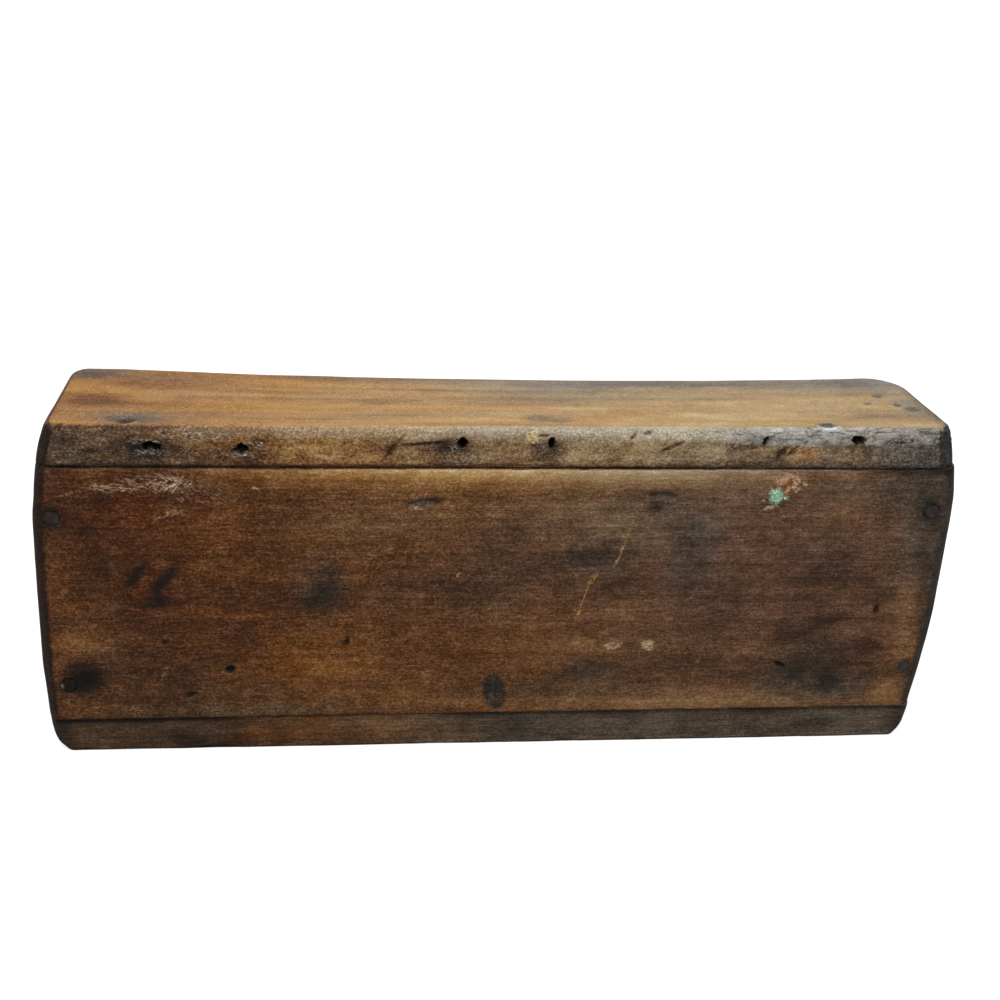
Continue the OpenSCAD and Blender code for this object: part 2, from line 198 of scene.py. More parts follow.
# %% [markdown]
# Worn shapes need noise that is the same on every run. Each point of a coarse lattice gets a fixed
# number from the bits of its place, and a point in between blends its eight neighbours. Stretching
# the lattice along a board makes the noise run with the grain. A Displace modifier with a cloud texture
# could shape the wood too, but here shape and colour share one noise and can follow each other.

# %% Noise and soft edges
def lattice(cell, seed):
    """A fixed number from 0 to 1 for each whole-number lattice point, by mixing the bits of its place."""
    low32 = 0xFFFFFFFF
    h = (cell @ np.array([374761393, 668265263, 1274126177]) + seed * 362437) & low32
    h = ((h ^ (h >> 15)) * 0x2C1B3C6D) & low32
    h = ((h ^ (h >> 12)) * 0x297A2D39) & low32
    return (h ^ (h >> 15)) / low32


def noise(p, size, seed):
    """Smooth noise from -1 to 1 with lumps of a size in mm: lattice values, blended by smoothstep."""
    g = p / np.asarray(size, float)
    cell = np.floor(g).astype(np.int64)
    w = (g - cell) ** 2 * (3 - 2 * (g - cell))
    total = np.zeros(len(p))
    for corner in np.ndindex(2, 2, 2):
        share = np.where(np.array(corner), w, 1 - w).prod(axis=1)
        total += share * lattice(cell + np.array(corner), seed)
    return 2 * total - 1


def rough(p, size, seed, layers=3):
    """Noise in layers: each has lumps half as large as the last, and half as high."""
    size = np.asarray(size, float)
    return sum(noise(p, size / 2**k, seed + k) / 2**k for k in range(layers))


def step(v, start, end):
    """0 up to start, 1 from end on, and a smooth S between them; start may lie above end."""
    t = np.clip((v - start) / (end - start), 0, 1)
    return t * t * (3 - 2 * t)


def oval(a, b, place, half, turn=0.0):
    """Distance from an oval's middle as a share of its half sizes: 1 on its rim; turn in degrees."""
    c, s = np.cos(np.radians(turn)), np.sin(np.radians(turn))
    da, db = a - place[0], b - place[1]
    return np.hypot((da * c + db * s) / half[0], (db * c - da * s) / half[1])


def blots(a, b, marks):
    """Sum of soft spots, each (middle a, b, half sizes, turn, amount): amount * exp(-distance ** 2.6)."""
    return sum(amount * np.exp(-oval(a, b, (ca, cb), (ha, hb), turn) ** 2.6)
               for ca, cb, ha, hb, turn, amount in marks)


print("noise at three points", np.round(noise(np.array([[0, 0, 0], [5, 1, 2], [9, 9, 9.0]]), 4, 1), 2))

# %% [markdown]
# A board starts as a box whose six faces share one grid, so its edges have no seams to weld. A cube
# cut up by a Subdivision modifier would also do, but its points lie evenly. These grid lines crowd
# together where a nail hole or an edge needs them, and stay wide apart on the plain face of the board.

# %% Board grids
def grid_lines(start, end, count, focus):
    """Positions from start to end, denser near each focus (place, half width, times as dense)."""
    t = np.linspace(start, end, 6001)
    density = 1 + sum((times - 1) * np.exp(-(((t - place) / half) ** 2)) for place, half, times in focus)
    run = np.concatenate([[0], np.cumsum((density[1:] + density[:-1]) / 2)])
    return np.interp(np.linspace(0, run[-1], count + 1), run, t)


def face_quads(ids, flip):
    """Quads between neighbouring points of a face's grid of point numbers."""
    quads = np.stack([ids[:-1, :-1], ids[1:, :-1], ids[1:, 1:], ids[:-1, 1:]], axis=-1).reshape(-1, 4)
    return quads[:, ::-1] if flip else quads


def box_shell(lines):
    """Points where grid lines meet on the surface of a box, each once, and outward quads between them."""
    counts = [len(v) for v in lines]
    at = np.indices(counts)
    on_skin = ((at == 0) | (at == np.array(counts).reshape(3, 1, 1, 1) - 1)).any(axis=0)
    ids = np.full(counts, -1)
    ids[on_skin] = np.arange(on_skin.sum())
    points = np.stack([lines[k][at[k][on_skin]] for k in range(3)], axis=1)
    quads = [
        face_quads(ids[0], True), face_quads(ids[-1], False),
        face_quads(ids[:, 0], False), face_quads(ids[:, -1], True),
        face_quads(ids[:, :, 0], True), face_quads(ids[:, :, -1], False),
    ]
    return points, np.concatenate(quads)


shell_points, shell_faces = box_shell([np.linspace(0, 1, 4)] * 3)
print("a box of 3 by 3 by 3 cells has", len(shell_points), "points and", len(shell_faces), "quads")

# %% [markdown]
# Then the box is worn. A ball rolled inside it rounds the edges, the upright corners are rounded in
# plan, and the ends are drawn in to the bow that the real ends have. A Bevel modifier rounds every edge
# alike; here each long edge gets its own radius, which wanders along the board as wear does.

# %% Worn edges and ends
def ease_edges(p, lo, hi, r):
    """Rolls a ball of radius r inside the box: a point moves to q + r * direction, from the nearest
    place q that the ball's centre can reach."""
    r = np.broadcast_to(r, len(p))[:, None]
    q = np.clip(p, lo + r, hi - r)
    away = p - q
    return q + r * away / np.linalg.norm(away, axis=1, keepdims=True)


def long_edge_radii(p, lo, hi, radii, end_radii):
    """Edge radius at each point of a board along X, by the edge it is nearest to: front low and top,
    back low and top, and then, near the ends, the ends low and top."""
    rear, upper = p[:, 1] > (lo[1] + hi[1]) / 2, (p[:, 2] > (lo[2] + hi[2]) / 2).astype(int)
    r = np.array(radii)[2 * rear + upper]
    r = r + (np.array(end_radii)[upper] - r) * step(np.abs(p[:, 0]), HALF_LENGTH - 14, HALF_LENGTH - 3)
    return r * (1 + 0.22 * noise(p, (22, 60, 60), 3))


def round_corners(p, half_depth, front_r, back_r):
    """Rounds upright corners in plan: in each corner's square, squares round its centre become circles."""
    x, y = p[:, 0].copy(), p[:, 1].copy()
    for side, face, r in zip((-1, 1, -1, 1), (-1, -1, 1, 1), (*front_r, *back_r)):
        u, v = side * x - (HALF_LENGTH - r), face * y - (half_depth - r)
        inside = (u > 0) & (v > 0)
        squeeze = np.where(inside, np.maximum(u, v) / np.maximum(np.hypot(u, v), 1e-9), 1)
        x = np.where(inside, side * (HALF_LENGTH - r + u * squeeze), x)
        y = np.where(inside, face * (half_depth - r + v * squeeze), y)
    return np.stack([x, y, p[:, 2]], axis=1)


# How far each end is worn in from the full length, by height, as the outline of the box shows it.
# Rounding a corner draws the outline in, so each end starts that loss further out
LEFT_WEAR = np.array([
    [0, 10], [1.5, 7.2], [3, 5.6], [6.7, 3.9], [14.5, 2.3], [22, 1.7], [30, 1.3], [37, 0.9], [44, 0.3],
    [80, 0], [116, 0.2], [123, 0.6], [130, 1.5], [136, 2], [143, 2.9], [150, 4.0], [156, 5.4],
    [163, 7.7], [168, 9.8],
])
RIGHT_WEAR = np.array([
    [0, 14.5], [1.5, 12], [3, 10.8], [6, 9.3], [14, 7.6], [22, 6.7], [38, 4.3], [54, 2.5], [70, 1.2],
    [92, 0.7], [115, 0], [130, 0.3], [144, 2.1], [151, 3.3], [158, 4.9], [165, 7], [168, 8.2],
])
CORNER_LOSS = (0.3, 3.1)
# The wear fades to nothing this far from the ends
END_RUN = 40


def end_wear(z, profile, loss):
    """The profile at height z, averaged over a few millimetres so that it bends smoothly, less the loss."""
    return np.mean([np.interp(z + d, *profile.T) for d in (-2, -1, 0, 1, 2)], axis=0) - loss


def bow_ends(p, run):
    """Draws both ends in by their wear; the shift fades to nothing over a run from each end."""
    share = np.clip((np.abs(p[:, 0]) - (HALF_LENGTH - run)) / run, 0, 1)
    left, right = (end_wear(p[:, 2], w, loss) for w, loss in zip((LEFT_WEAR, RIGHT_WEAR), CORNER_LOSS))
    wear = np.where(p[:, 0] < 0, left, right)
    moved = p.copy()
    moved[:, 0] -= np.sign(p[:, 0]) * wear * share
    return moved


print("left end at the bottom is worn in by", round(end_wear(0.0, LEFT_WEAR, CORNER_LOSS[0]), 1), "mm")

# %% [markdown]
# Every finished piece goes through one function. It writes the points and faces into a mesh, adds the
# fields that the finishes read, tells the frame which body the piece rides on, and hides the CAD node
# that it stands for. The pieces stay at the origin with their place in their mesh, as the CAD nodes do.

# %% Pieces
def normals(p, faces):
    """Outward direction at each point: the sum of its faces' area vectors, brought to length 1."""
    area = np.cross(p[faces[:, 2]] - p[faces[:, 0]], p[faces[:, 3]] - p[faces[:, 1]])
    sums = [np.bincount(faces.ravel(), np.repeat(area[:, k], 4), len(p)) for k in range(3)]
    total = np.stack(sums, axis=1)
    return total / np.maximum(np.linalg.norm(total, axis=1, keepdims=True), 1e-12)


def make_piece(name, points, faces, finish, body, node, fields=None):
    """Puts points in mm and faces into a smooth mesh with its fields, on its body, for its CAD node."""
    mesh = bpy.data.meshes.new(name)
    mesh.from_pydata((points * MM).tolist(), [], faces.tolist())
    mesh.polygons.foreach_set("use_smooth", np.ones(len(mesh.polygons), bool))
    for field, values in (fields or {}).items():
        layer = mesh.attributes.new(field, "FLOAT", "POINT")
        layer.data.foreach_set("value", np.asarray(values, np.float32))
    mesh.materials.append(finish)
    piece = bpy.data.objects.new(name, mesh)
    scene.collection.objects.link(piece)
    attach(piece, body)
    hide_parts(node)
    print(name, len(points), "points", len(faces), "faces")
    return piece


print("the last corner of that box faces", np.round(normals(shell_points, shell_faces)[-1], 2))

# %% [markdown]
# Pine shows growth rings about 3 mm apart where the saw cut them, with streaks, fibres and pores along
# the grain. A photo of wood would be quick, but it repeats and can't follow the wear. Here a wave makes
# the rings round the tree's middle line, and four noises, drawn out along the grain, make the rest.
# Fibres are really thinner than a tenth of a millimetre, and are drawn coarser so that they show.

# %% Grain of the pine
X, Z = 0, 2
RING_MM, FIBRE_MM, STREAK_MM, SPECK_MM, MOTTLE_MM = 3.2, 0.6, 2.2, 0.9, 7.0
RING_TAPER = 20.0
# Blender's wave repeats every 2 pi / 20 units at scale 1
WAVE_UNIT = 0.314159


def grain_scale(width_mm, times_long, grain):
    """Scale of coordinates in units of a pattern's width, drawn out along the grain axis."""
    scale = [1 / (width_mm * MM)] * 3
    scale[grain] /= times_long
    return scale


def pine_grain(tree, coords, grain, pith):
    """Rings round a line through the pith that tapers slowly along the grain, then fibres, streaks,
    specks and mottle: noises of their own width, drawn out along the grain."""
    from_pith = add(
        tree, "ShaderNodeMapping",
        {
            "Vector": coords, "Location": np.array(pith) * MM,
            "Scale": [RING_TAPER if k == grain else 1.0 for k in range(3)],
        },
        vector_type="TEXTURE",
    ).outputs[0]
    patterns = [
        add(
            tree, "ShaderNodeTexWave",
            {
                "Vector": from_pith, "Scale": WAVE_UNIT / (RING_MM * MM), "Distortion": 5.0,
                "Detail": 2.0, "Detail Scale": 0.35,
            },
            wave_type="RINGS", rings_direction="XYZ"[grain], wave_profile="SAW",
        ).outputs["Fac"]
    ]
    for width, long, soft in (
        (FIBRE_MM, 9, 0.5), (STREAK_MM, 18, 0.55), (SPECK_MM, 1.25, 0.75), (MOTTLE_MM, 1.6, 0.65)
    ):
        along = add(
            tree, "ShaderNodeMapping", {"Vector": coords, "Scale": grain_scale(width, long, grain)}
        ).outputs[0]
        patterns.append(
            add(
                tree, "ShaderNodeTexNoise",
                {"Vector": along, "Scale": 1.0, "Detail": 3.0, "Roughness": soft},
            ).outputs["Fac"]
        )
    return patterns


print("growth rings", RING_MM, "mm apart, streaks", STREAK_MM, "mm wide")

# %% [markdown]
# Scuffs, chips and splashes sit at their own places, so they are laid over the wood one by one. Each is
# an oval with a ragged rim, broken up by short strokes, so that it looks dragged or flaked. They could
# be painted into an image by hand, but that image would blur close up, and these do not.

# %% Scuffs and chips
RAG_MM, RAG_WIDTH_MM = 3.2, 2.2


def spots(tree, coords, marks):
    """Mask of several ovals: place, half sizes and turn make each a unit ball; the highest mask wins."""
    mask = None
    for place, half, turn, edge in marks:
        ball = add(
            tree, "ShaderNodeMapping",
            {
                "Vector": coords, "Location": np.array(place) * MM, "Scale": np.array(half) * MM,
                "Rotation": np.radians(turn),
            },
            vector_type="TEXTURE",
        )
        reach = add(tree, "ShaderNodeVectorMath", {0: ball.outputs[0]}, operation="LENGTH")
        one = add(
            tree, "ShaderNodeMapRange",
            {"Value": reach.outputs["Value"], "From Min": 1 + edge, "From Max": 1 - edge},
        ).outputs[0]
        mask = one if mask is None else add(
            tree, "ShaderNodeMath", {0: mask, 1: one}, operation="MAXIMUM"
        ).outputs[0]
    return mask


def lay_marks(tree, coords, grain, colour, marks):
    """Lays groups of marks over a colour, each (colour, strength, cover, strokes, ovals); the strokes'
    width, length and turn shape a noise, and cover says how much of each oval the strokes fill."""
    uneven = add(
        tree, "ShaderNodeMapping", {"Vector": coords, "Scale": grain_scale(RAG_WIDTH_MM, 1, grain)}
    ).outputs[0]
    wobble = add(
        tree, "ShaderNodeTexNoise", {"Vector": uneven, "Scale": 1.0, "Detail": 2.0}
    ).outputs["Color"]
    shift = add(
        tree, "ShaderNodeVectorMath", {0: wobble, 1: (0.5, 0.5, 0.5)}, operation="SUBTRACT"
    ).outputs[0]
    ragged = add(
        tree, "ShaderNodeVectorMath", {0: shift, 1: (RAG_MM * MM,) * 3, 2: coords}, operation="MULTIPLY_ADD"
    ).outputs[0]
    for tint, strength, cover, (wide, long, turn), ovals in marks:
        slanted = add(
            tree, "ShaderNodeMapping",
            {
                "Vector": coords, "Scale": np.array([long, wide, wide]) * MM,
                "Rotation": np.radians([0, turn, 0]),
            },
            vector_type="TEXTURE",
        ).outputs[0]
        strokes = add(
            tree, "ShaderNodeTexNoise", {"Vector": slanted, "Scale": 1.0, "Detail": 2.0}
        ).outputs["Fac"]
        bare_from = 0.68 - 0.4 * cover
        broken = add(
            tree, "ShaderNodeMapRange",
            {"Value": strokes, "From Min": bare_from, "From Max": bare_from + 0.06, "To Max": strength},
        ).outputs[0]
        mask = add(
            tree, "ShaderNodeMath", {0: spots(tree, ragged, ovals), 1: broken}, operation="MULTIPLY"
        ).outputs[0]
        colour = add(
            tree, "ShaderNodeMix", {0: mask, 6: colour, 7: linear(tint)}, data_type="RGBA"
        ).outputs[2]
    return colour


print("rims of the marks wander by up to", RAG_MM / 2, "mm")

# %% [markdown]
# The wood is old pine under worn shellac. Coated pine goes nearly black with grime, and where hands
# rub the coat away the pale wood shows again, so one ramp of colours serves the whole caddy: each
# point carries a tone from 0 for grime to 1 for bare wood. Two more fields carry the red of old
# shellac and grey weathering. Separate colours for each board would be easier to write, but then no
# board could be worn in one place and grimy in the next.

# %% Patina of old shellac
PATINA = [
    (0.0, "#0b0705"), (0.2, "#291a10"), (0.4, "#4d2f18"), (0.55, "#6e4623"),
    (0.7, "#93683a"), (0.85, "#b58c54"), (1.0, "#dcbe8a"),
]
SHELLAC_RED, RED_SWING = "#f6cecf", 0.45
# Saturation, brightness and hue of fully weathered wood; a hue of 0.5 leaves the colour as it is
GREY_SATURATION, GREY_VALUE, OLIVE_HUE = 0.08, 0.78, 0.528


def patina(tree, tone, red, grey, mottle):
    """Colour of worn shellac: tone picks a colour from the ramp, red and mottle multiply it by the
    shellac's red, and grey takes saturation and light away and leans it towards olive."""
    ramp = add(tree, "ShaderNodeValToRGB", {"Fac": tone})
    stops = ramp.color_ramp.elements
    while len(stops) < len(PATINA):
        stops.new(0.5)
    for stop, (place, colour) in zip(stops, PATINA):
        stop.position, stop.color = place, linear(colour)
    warm = add(
        tree, "ShaderNodeMapRange", {"Value": mottle, "To Min": -RED_SWING, "To Max": RED_SWING}
    ).outputs[0]
    redder = add(tree, "ShaderNodeMath", {0: red, 1: warm}, operation="ADD").outputs[0]
    coat = add(
        tree, "ShaderNodeMix", {0: redder, 6: ramp.outputs["Color"], 7: linear(SHELLAC_RED)},
        data_type="RGBA", blend_type="MULTIPLY",
    ).outputs[2]
    pale = add(
        tree, "ShaderNodeMapRange", {"Value": grey, "To Min": 1.0, "To Max": GREY_SATURATION}, clamp=False
    ).outputs[0]
    dim = add(
        tree, "ShaderNodeMapRange", {"Value": grey, "To Min": 1.0, "To Max": GREY_VALUE}
    ).outputs[0]
    olive = add(
        tree, "ShaderNodeMapRange", {"Value": grey, "From Max": 0.5, "To Min": 0.5, "To Max": OLIVE_HUE}
    ).outputs[0]
    return add(
        tree, "ShaderNodeHueSaturation", {"Hue": olive, "Saturation": pale, "Value": dim, "Color": coat}
    ).outputs[0]


print("grime to bare wood in", len(PATINA), "colours")

# %% [markdown]
# The finish puts grain, patina and marks together. Slow patterns, such as rings and mottle, move the
# tone along the ramp. Fine ones only lighten and darken the colour, because raised fibres and dust have
# no hue of their own, and a last field says how coarse the wood has worn. The same fibres make a
# slight bump, and streaks make the gloss uneven, as on wood that was brushed by hand.

# %% Aged pine
# How strongly the figure shows in grime and in bare wood, and how the fine texture shades the colour
FIGURE_DARK, FIGURE_BARE = 1.1, 0.44
FINE_GAIN, FINE_SATURATION, GRIT_WEIGHT = 50.0, 0.74, 0.98
BUMP_MM, GLOSS_SWING = 0.3, 0.08


def aged_pine(name, grain, pith, roughness, contrast=1.0, marks=()):
    """Old pine: grain is the axis it grew along, pith a point on the tree's middle line in mm,
    marks are the groups that lay_marks lays over it."""
    finish = bpy.data.materials.new(name)
    tree = new_tree(finish)
    coords = add(tree, "ShaderNodeTexCoord").outputs["Object"]
    tone, grey, red, coarse = (
        add(tree, "ShaderNodeAttribute", attribute_name=field).outputs["Fac"]
        for field in ("tone", "grey", "red", "coarse")
    )
    rings, fibres, streaks, specks, mottle = pine_grain(tree, coords, grain, pith)

    # Grime fills the pores, so dark wood shows its figure more than wood rubbed bare
    figure = add(
        tree, "ShaderNodeMapRange",
        {
            "Value": tone, "From Min": 0.4, "From Max": 0.85,
            "To Min": FIGURE_DARK * contrast, "To Max": FIGURE_BARE * contrast,
        },
    ).outputs[0]
    grit = add(
        tree, "ShaderNodeMath", {0: coarse, 1: GRIT_WEIGHT, 2: GRIT_WEIGHT}, operation="MULTIPLY_ADD"
    ).outputs[0]
    slow, fine = 0.0, 0.0
    for pattern, slow_weight, fine_weight in (
        (rings, -0.06, 0.0), (streaks, 0.12, 0.1), (mottle, 0.2, 0.2),
        (fibres, 0.0, 0.48), (specks, 0.0, grit),
    ):
        centred = add(tree, "ShaderNodeMath", {0: pattern, 1: 0.5}, operation="SUBTRACT").outputs[0]
        if slow_weight:
            slow = add(
                tree, "ShaderNodeMath", {0: centred, 1: slow_weight, 2: slow}, operation="MULTIPLY_ADD"
            ).outputs[0]
        if fine_weight:
            fine = add(
                tree, "ShaderNodeMath", {0: centred, 1: fine_weight, 2: fine}, operation="MULTIPLY_ADD"
            ).outputs[0]
    shaded = add(
        tree, "ShaderNodeMath", {0: slow, 1: figure, 2: tone}, operation="MULTIPLY_ADD"
    ).outputs[0]
    colour = patina(tree, shaded, red, grey, mottle)
    if marks:
        colour = lay_marks(tree, coords, grain, colour, marks)

    # Raised fibres and dust catch the light, so the fine texture adds or takes away a paler version of
    # the colour that is there
    sway = add(tree, "ShaderNodeMath", {0: fine, 1: figure}, operation="MULTIPLY").outputs[0]
    gain = add(tree, "ShaderNodeMath", {0: FINE_GAIN, 1: sway}, operation="POWER").outputs[0]
    change = add(tree, "ShaderNodeMath", {0: gain, 1: 1.0}, operation="SUBTRACT").outputs[0]
    paler = add(
        tree, "ShaderNodeHueSaturation", {"Saturation": FINE_SATURATION, "Color": colour}
    ).outputs[0]
    colour = add(
        tree, "ShaderNodeMix", {0: change, 6: colour, 7: paler},
        data_type="RGBA", blend_type="ADD", clamp_factor=False, clamp_result=True,
    ).outputs[2]

    relief = add(
        tree, "ShaderNodeMath", {0: fibres, 1: 0.6, 2: specks}, operation="MULTIPLY_ADD"
    ).outputs[0]
    bump = add(
        tree, "ShaderNodeBump", {"Height": relief, "Strength": 0.5, "Distance": BUMP_MM * MM}
    ).outputs[0]
    gloss = add(
        tree, "ShaderNodeMapRange",
        {
            "Value": streaks, "From Min": 0.3, "From Max": 0.7,
            "To Min": roughness - GLOSS_SWING, "To Max": roughness + GLOSS_SWING,
        },
    ).outputs[0]
    surface = add(
        tree, "ShaderNodeBsdfPrincipled",
        {
            "Base Color": colour, "Roughness": gloss, "Normal": bump,
            "IOR": 1.5, "Specular IOR Level": 0.16,
        },
    )
    add(tree, "ShaderNodeOutputMaterial", {"Surface": surface.outputs[0]})
    print(name, len(tree.nodes), "nodes")
    return finish


# Bare pine that was planed and never coated: pale, dry and dull, mellowed by dust
INNER_PINE = aged_pine("bare_pine_divider", Z, (60, -30, 0), 0.72)
# Shellacked pine with its grain upright: amber brown with a dull gloss
END_PINE = aged_pine("shellacked_pine_end", Z, (150, 10, 0), 0.6)
# Pine that slid on benches for years: grimy, dull and almost without gloss
BASE_PINE = aged_pine("grimy_pine_base", X, (0, -20, -60), 0.66, 0.78)

# %% [markdown]
# The front panel and the lid carry marks that anyone who knew the caddy would look for: scuffs, one long
# scratch, flaked chips and a splash of green paint. Each oval lies on the board's front face, so it
# needs only its place along and up, its half sizes, its turn and how soft its rim is.

# %% Marks on the front panel
FRONT_Y, MARK_REACH = -41, 9


def on_front(*ovals):
    """Ovals on the front face, each (along, height, half width, half height, turn, softness), as balls
    that reach a little way into the wood."""
    return [
        ((along, FRONT_Y, height), (half_x, MARK_REACH, half_z), (0, turn, 0), edge)
        for along, height, half_x, half_z, turn, edge in ovals
    ]


FRONT_MARKS = [
    # bare wood in scuffs along the upper left edge
    ("#a98a6e", 0.8, 0.42, (0.6, 2.8, 38), on_front(
        (-155, 138.2, 10.5, 4.2, 4, 0.6), (-170, 139.5, 6, 2, 0, 0.7),
    )),
    ("#bf9f84", 0.9, 0.44, (0.6, 2.8, -42), on_front((-154, 137.4, 8, 3.0, 0, 0.6))),
    ("#86664c", 0.75, 0.42, (0.6, 2.4, 30), on_front(
        (-134, 133.5, 7, 5.5, 0, 0.8), (-148, 129, 6, 3, 0, 0.8),
    )),
    ("#b3947a", 0.9, 0.55, (0.6, 2.6, 2), on_front(
        (-180, 136, 11, 1.7, 2, 0.5), (-116, 136, 1.6, 0.8, 0, 0.4), (-43, 125.9, 2.6, 0.9, 10, 0.5),
    )),
    ("#8f6c42", 0.8, 0.5, (0.8, 3, -30), on_front((-155.5, 123, 7, 2.4, -10, 0.6))),
    # two flaked chips
    ("#bc9f7c", 0.9, 0.8, (0.9, 1.6, 0), on_front(
        (54.7, 53.7, 4.2, 1.7, -8, 0.3), (71.7, 54.1, 3.6, 2.5, 12, 0.3), (-22, 92, 1.0, 0.7, 0, 0.5),
    )),
    # the dark middle of the first chip
    ("#6d4f31", 0.8, 0.8, (0.9, 1.6, 0), on_front((55.2, 53.6, 2.3, 0.7, -8, 0.4))),
    # one long broken scratch, and fainter ones
    ("#a98340", 0.75, 0.75, (1.0, 1.6, 0), on_front(
        (57.3, 110, 12, 0.35, -73, 0.8), (54.3, 100, 3.5, 0.6, -70, 0.6), (42, 89, 3.6, 0.9, -60, 0.6),
        (38.3, 77.5, 8.5, 0.35, -73, 0.8), (37, 72, 1.7, 1.1, -70, 0.6),
    )),
    ("#94704b", 0.55, 0.7, (0.9, 1.6, 0), on_front(
        (93, 82, 4, 0.4, -55, 0.6), (98, 44, 13, 0.4, -78, 0.6), (-160, 42, 7, 0.4, -60, 0.6),
        (-195, 134, 12, 0.5, -14, 0.6), (170, 122, 4, 0.4, -88, 0.6),
    )),
    # a scrape down to orange wood, with a dark rim and pale crumbs
    ("#2c1a12", 0.75, 0.65, (0.8, 1.2, 0), on_front(
        (133.5, 138, 6.2, 6.4, 0, 0.3), (127.5, 127.5, 5, 2.6, -14, 0.5),
    )),
    ("#8a5532", 0.9, 0.9, (0.9, 1.4, 80), on_front((133, 138, 4.8, 5.6, 0, 0.35))),
    ("#cfab86", 0.95, 0.7, (0.7, 1.0, 60), on_front(
        (130.4, 140.6, 3.2, 2.4, -20, 0.6), (137, 139, 1.2, 3.6, 8, 0.6),
        (134, 142.2, 3.4, 0.9, 6, 0.6), (138.2, 135, 1.5, 0.8, -30, 0.5),
        (141.4, 138, 0.8, 0.7, 0, 0.5), (122.6, 129.4, 0.8, 0.9, 0, 0.5),
        (126, 126.2, 3.4, 0.8, -16, 0.6), (133.4, 135, 0.8, 2.4, 8, 0.5),
    )),
    # a splash of old green paint over the scrape
    ("#86b094", 0.95, 0.9, (0.8, 0.8, 0), on_front(
        (128.2, 132.4, 3.4, 3.7, 0, 0.2), (133, 131.4, 1.5, 1.1, -20, 0.4),
    )),
    ("#b9cdb4", 0.85, 0.45, (0.8, 1.2, 40), on_front(
        (128.2, 132, 3.2, 3.4, 0, 0.5), (133, 131.6, 1.4, 1.0, -20, 0.5),
        (124.6, 133.6, 1.0, 0.6, 0, 0.4),
    )),
]
# Brushed shellac, worn: dark amber to nearly black, with a soft gloss
PANEL_PINE = aged_pine("shellacked_pine_panel", X, (0, 70, 40), 0.56, 0.92, marks=FRONT_MARKS)

# %% [markdown]
# The lid's marks sit on its front edge and its top. A bruise on the upper edge carries a painted white
# highlight, and grey fibres stand up round the old nail holes where the nails were drawn.

# %% Marks on the lid
LID_MARKS = [
    # a flaked chip beside the fourth hole
    ("#d6bd86", 0.95, 0.8, (0.9, 1.2, 0), on_front((9.6, 161.0, 2.9, 3.2, 30, 0.25))),
    # a painted white highlight on a bruise on the upper front edge, round a dark dent
    ("#e2e5e3", 0.95, 0.95, (0.8, 1.2, 0), [((151.2, -36.2, 164.4), (5.0, 3.0, 4.0), (0, 0, 0), 0.25)]),
    ("#45413b", 0.85, 0.95, (0.8, 1.2, 0), [((151.4, -33.6, 164.8), (4.0, 2.5, 4.0), (0, 0, 0), 0.3)]),
    # a dull stain on the top above the fourth hole
    ("#6b604d", 0.7, 0.85, (0.9, 2.4, 0), [
        ((14, -26, 165), (6.5, 5.0, 4), (0, 0, 0), 0.25),
        ((24, -30, 165), (6.0, 2.8, 4), (0, 0, 0), 0.25),
    ]),
    # a duller bruise on the left
    ("#b3a48c", 0.9, 0.8, (0.8, 1.2, 0), [((-170.5, -36.5, 165.4), (2.0, 1.6, 2), (0, 0, 14), 0.5)]),
    # grey fibres raised round the old holes, and nicks on the left upper edge
    ("#a89a85", 0.75, 0.5, (0.6, 2.0, 12), on_front(
        (-163, 152.8, 5, 1.2, 0, 0.5), (-122, 152, 5, 1.2, 0, 0.5), (-165, 158.2, 5, 1.0, 0, 0.5),
        (-117, 157, 6, 1.0, 0, 0.5), (-138, 161.5, 16, 2.2, 0, 0.7),
    )),
    # fibres that stand up beside the third and fourth holes
    ("#85796a", 0.8, 0.55, (0.6, 1.6, 50), on_front(
        (-26, 155.6, 3, 1.8, 0, 0.5), (16, 157, 2.2, 3.2, 0, 0.5),
    )),
    # a golden patch of shellac low on the right
    ("#9c6a2e", 0.7, 0.7, (2.0, 3.0, 0), on_front((139, 153.0, 8, 3.6, 0, 0.6))),
]
# Pine rubbed bare by hands: pale gold on top, grey where the edge is worn, with a painted sheen there and a
# dull gloss
LID_PINE = aged_pine("rubbed_pine_lid", X, (0, 30, 60), 0.58, 0.75, marks=LID_MARKS)

# %% [markdown]
# The lid is one thick pine board, and the best lit one, so its wear is worked out in most detail. Its
# upper front edge is rubbed round, its ends were sawn out of square, and its top sags towards the
# back. Sculpting by hand could give these forms; numbers give the same ones on every run.

# %% Lid board
OLD_HOLES = [
    # nail holes of older hinges: along the lid, height, half width, half height, turn, depth
    (-161.8, 155.6, 3.3, 2.0, -12, 9), (-122.0, 154.4, 2.7, 2.0, 10, 9),
    (-22.3, 157.7, 2.0, 2.0, 40, 9), (19.0, 157.7, 1.5, 2.6, -18, 9), (120.5, 159.8, 0.9, 1.9, -25, 7),
    (165.5, 159.8, 2.8, 2.2, -10, 9),
]
END_FOCUS = [(-HALF_LENGTH, 9, 3), (HALF_LENGTH, 9, 3)]


def long_box(node):
    """Box of a long board, taken to the full length, because end wear is measured from there."""
    lo, hi = node_box(node)
    lo[0], hi[0] = -HALF_LENGTH, HALF_LENGTH
    return lo, hi


lid_lo, lid_hi = long_box("lid_board")
lid_hi[2] = cad_box[1][2] / MM
lid, lid_faces = box_shell([
    grid_lines(lid_lo[0], lid_hi[0], 440, [(hole[0], 3.5, 3.0) for hole in OLD_HOLES] + END_FOCUS),
    grid_lines(lid_lo[1], lid_hi[1], 56, [(lid_lo[1], 6, 3), (lid_hi[1], 6, 2.5)]),
    grid_lines(lid_lo[2], lid_hi[2], 30, [(lid_lo[2], 2, 2), (158, 3, 1.3), (lid_hi[2], 4, 2)]),
])
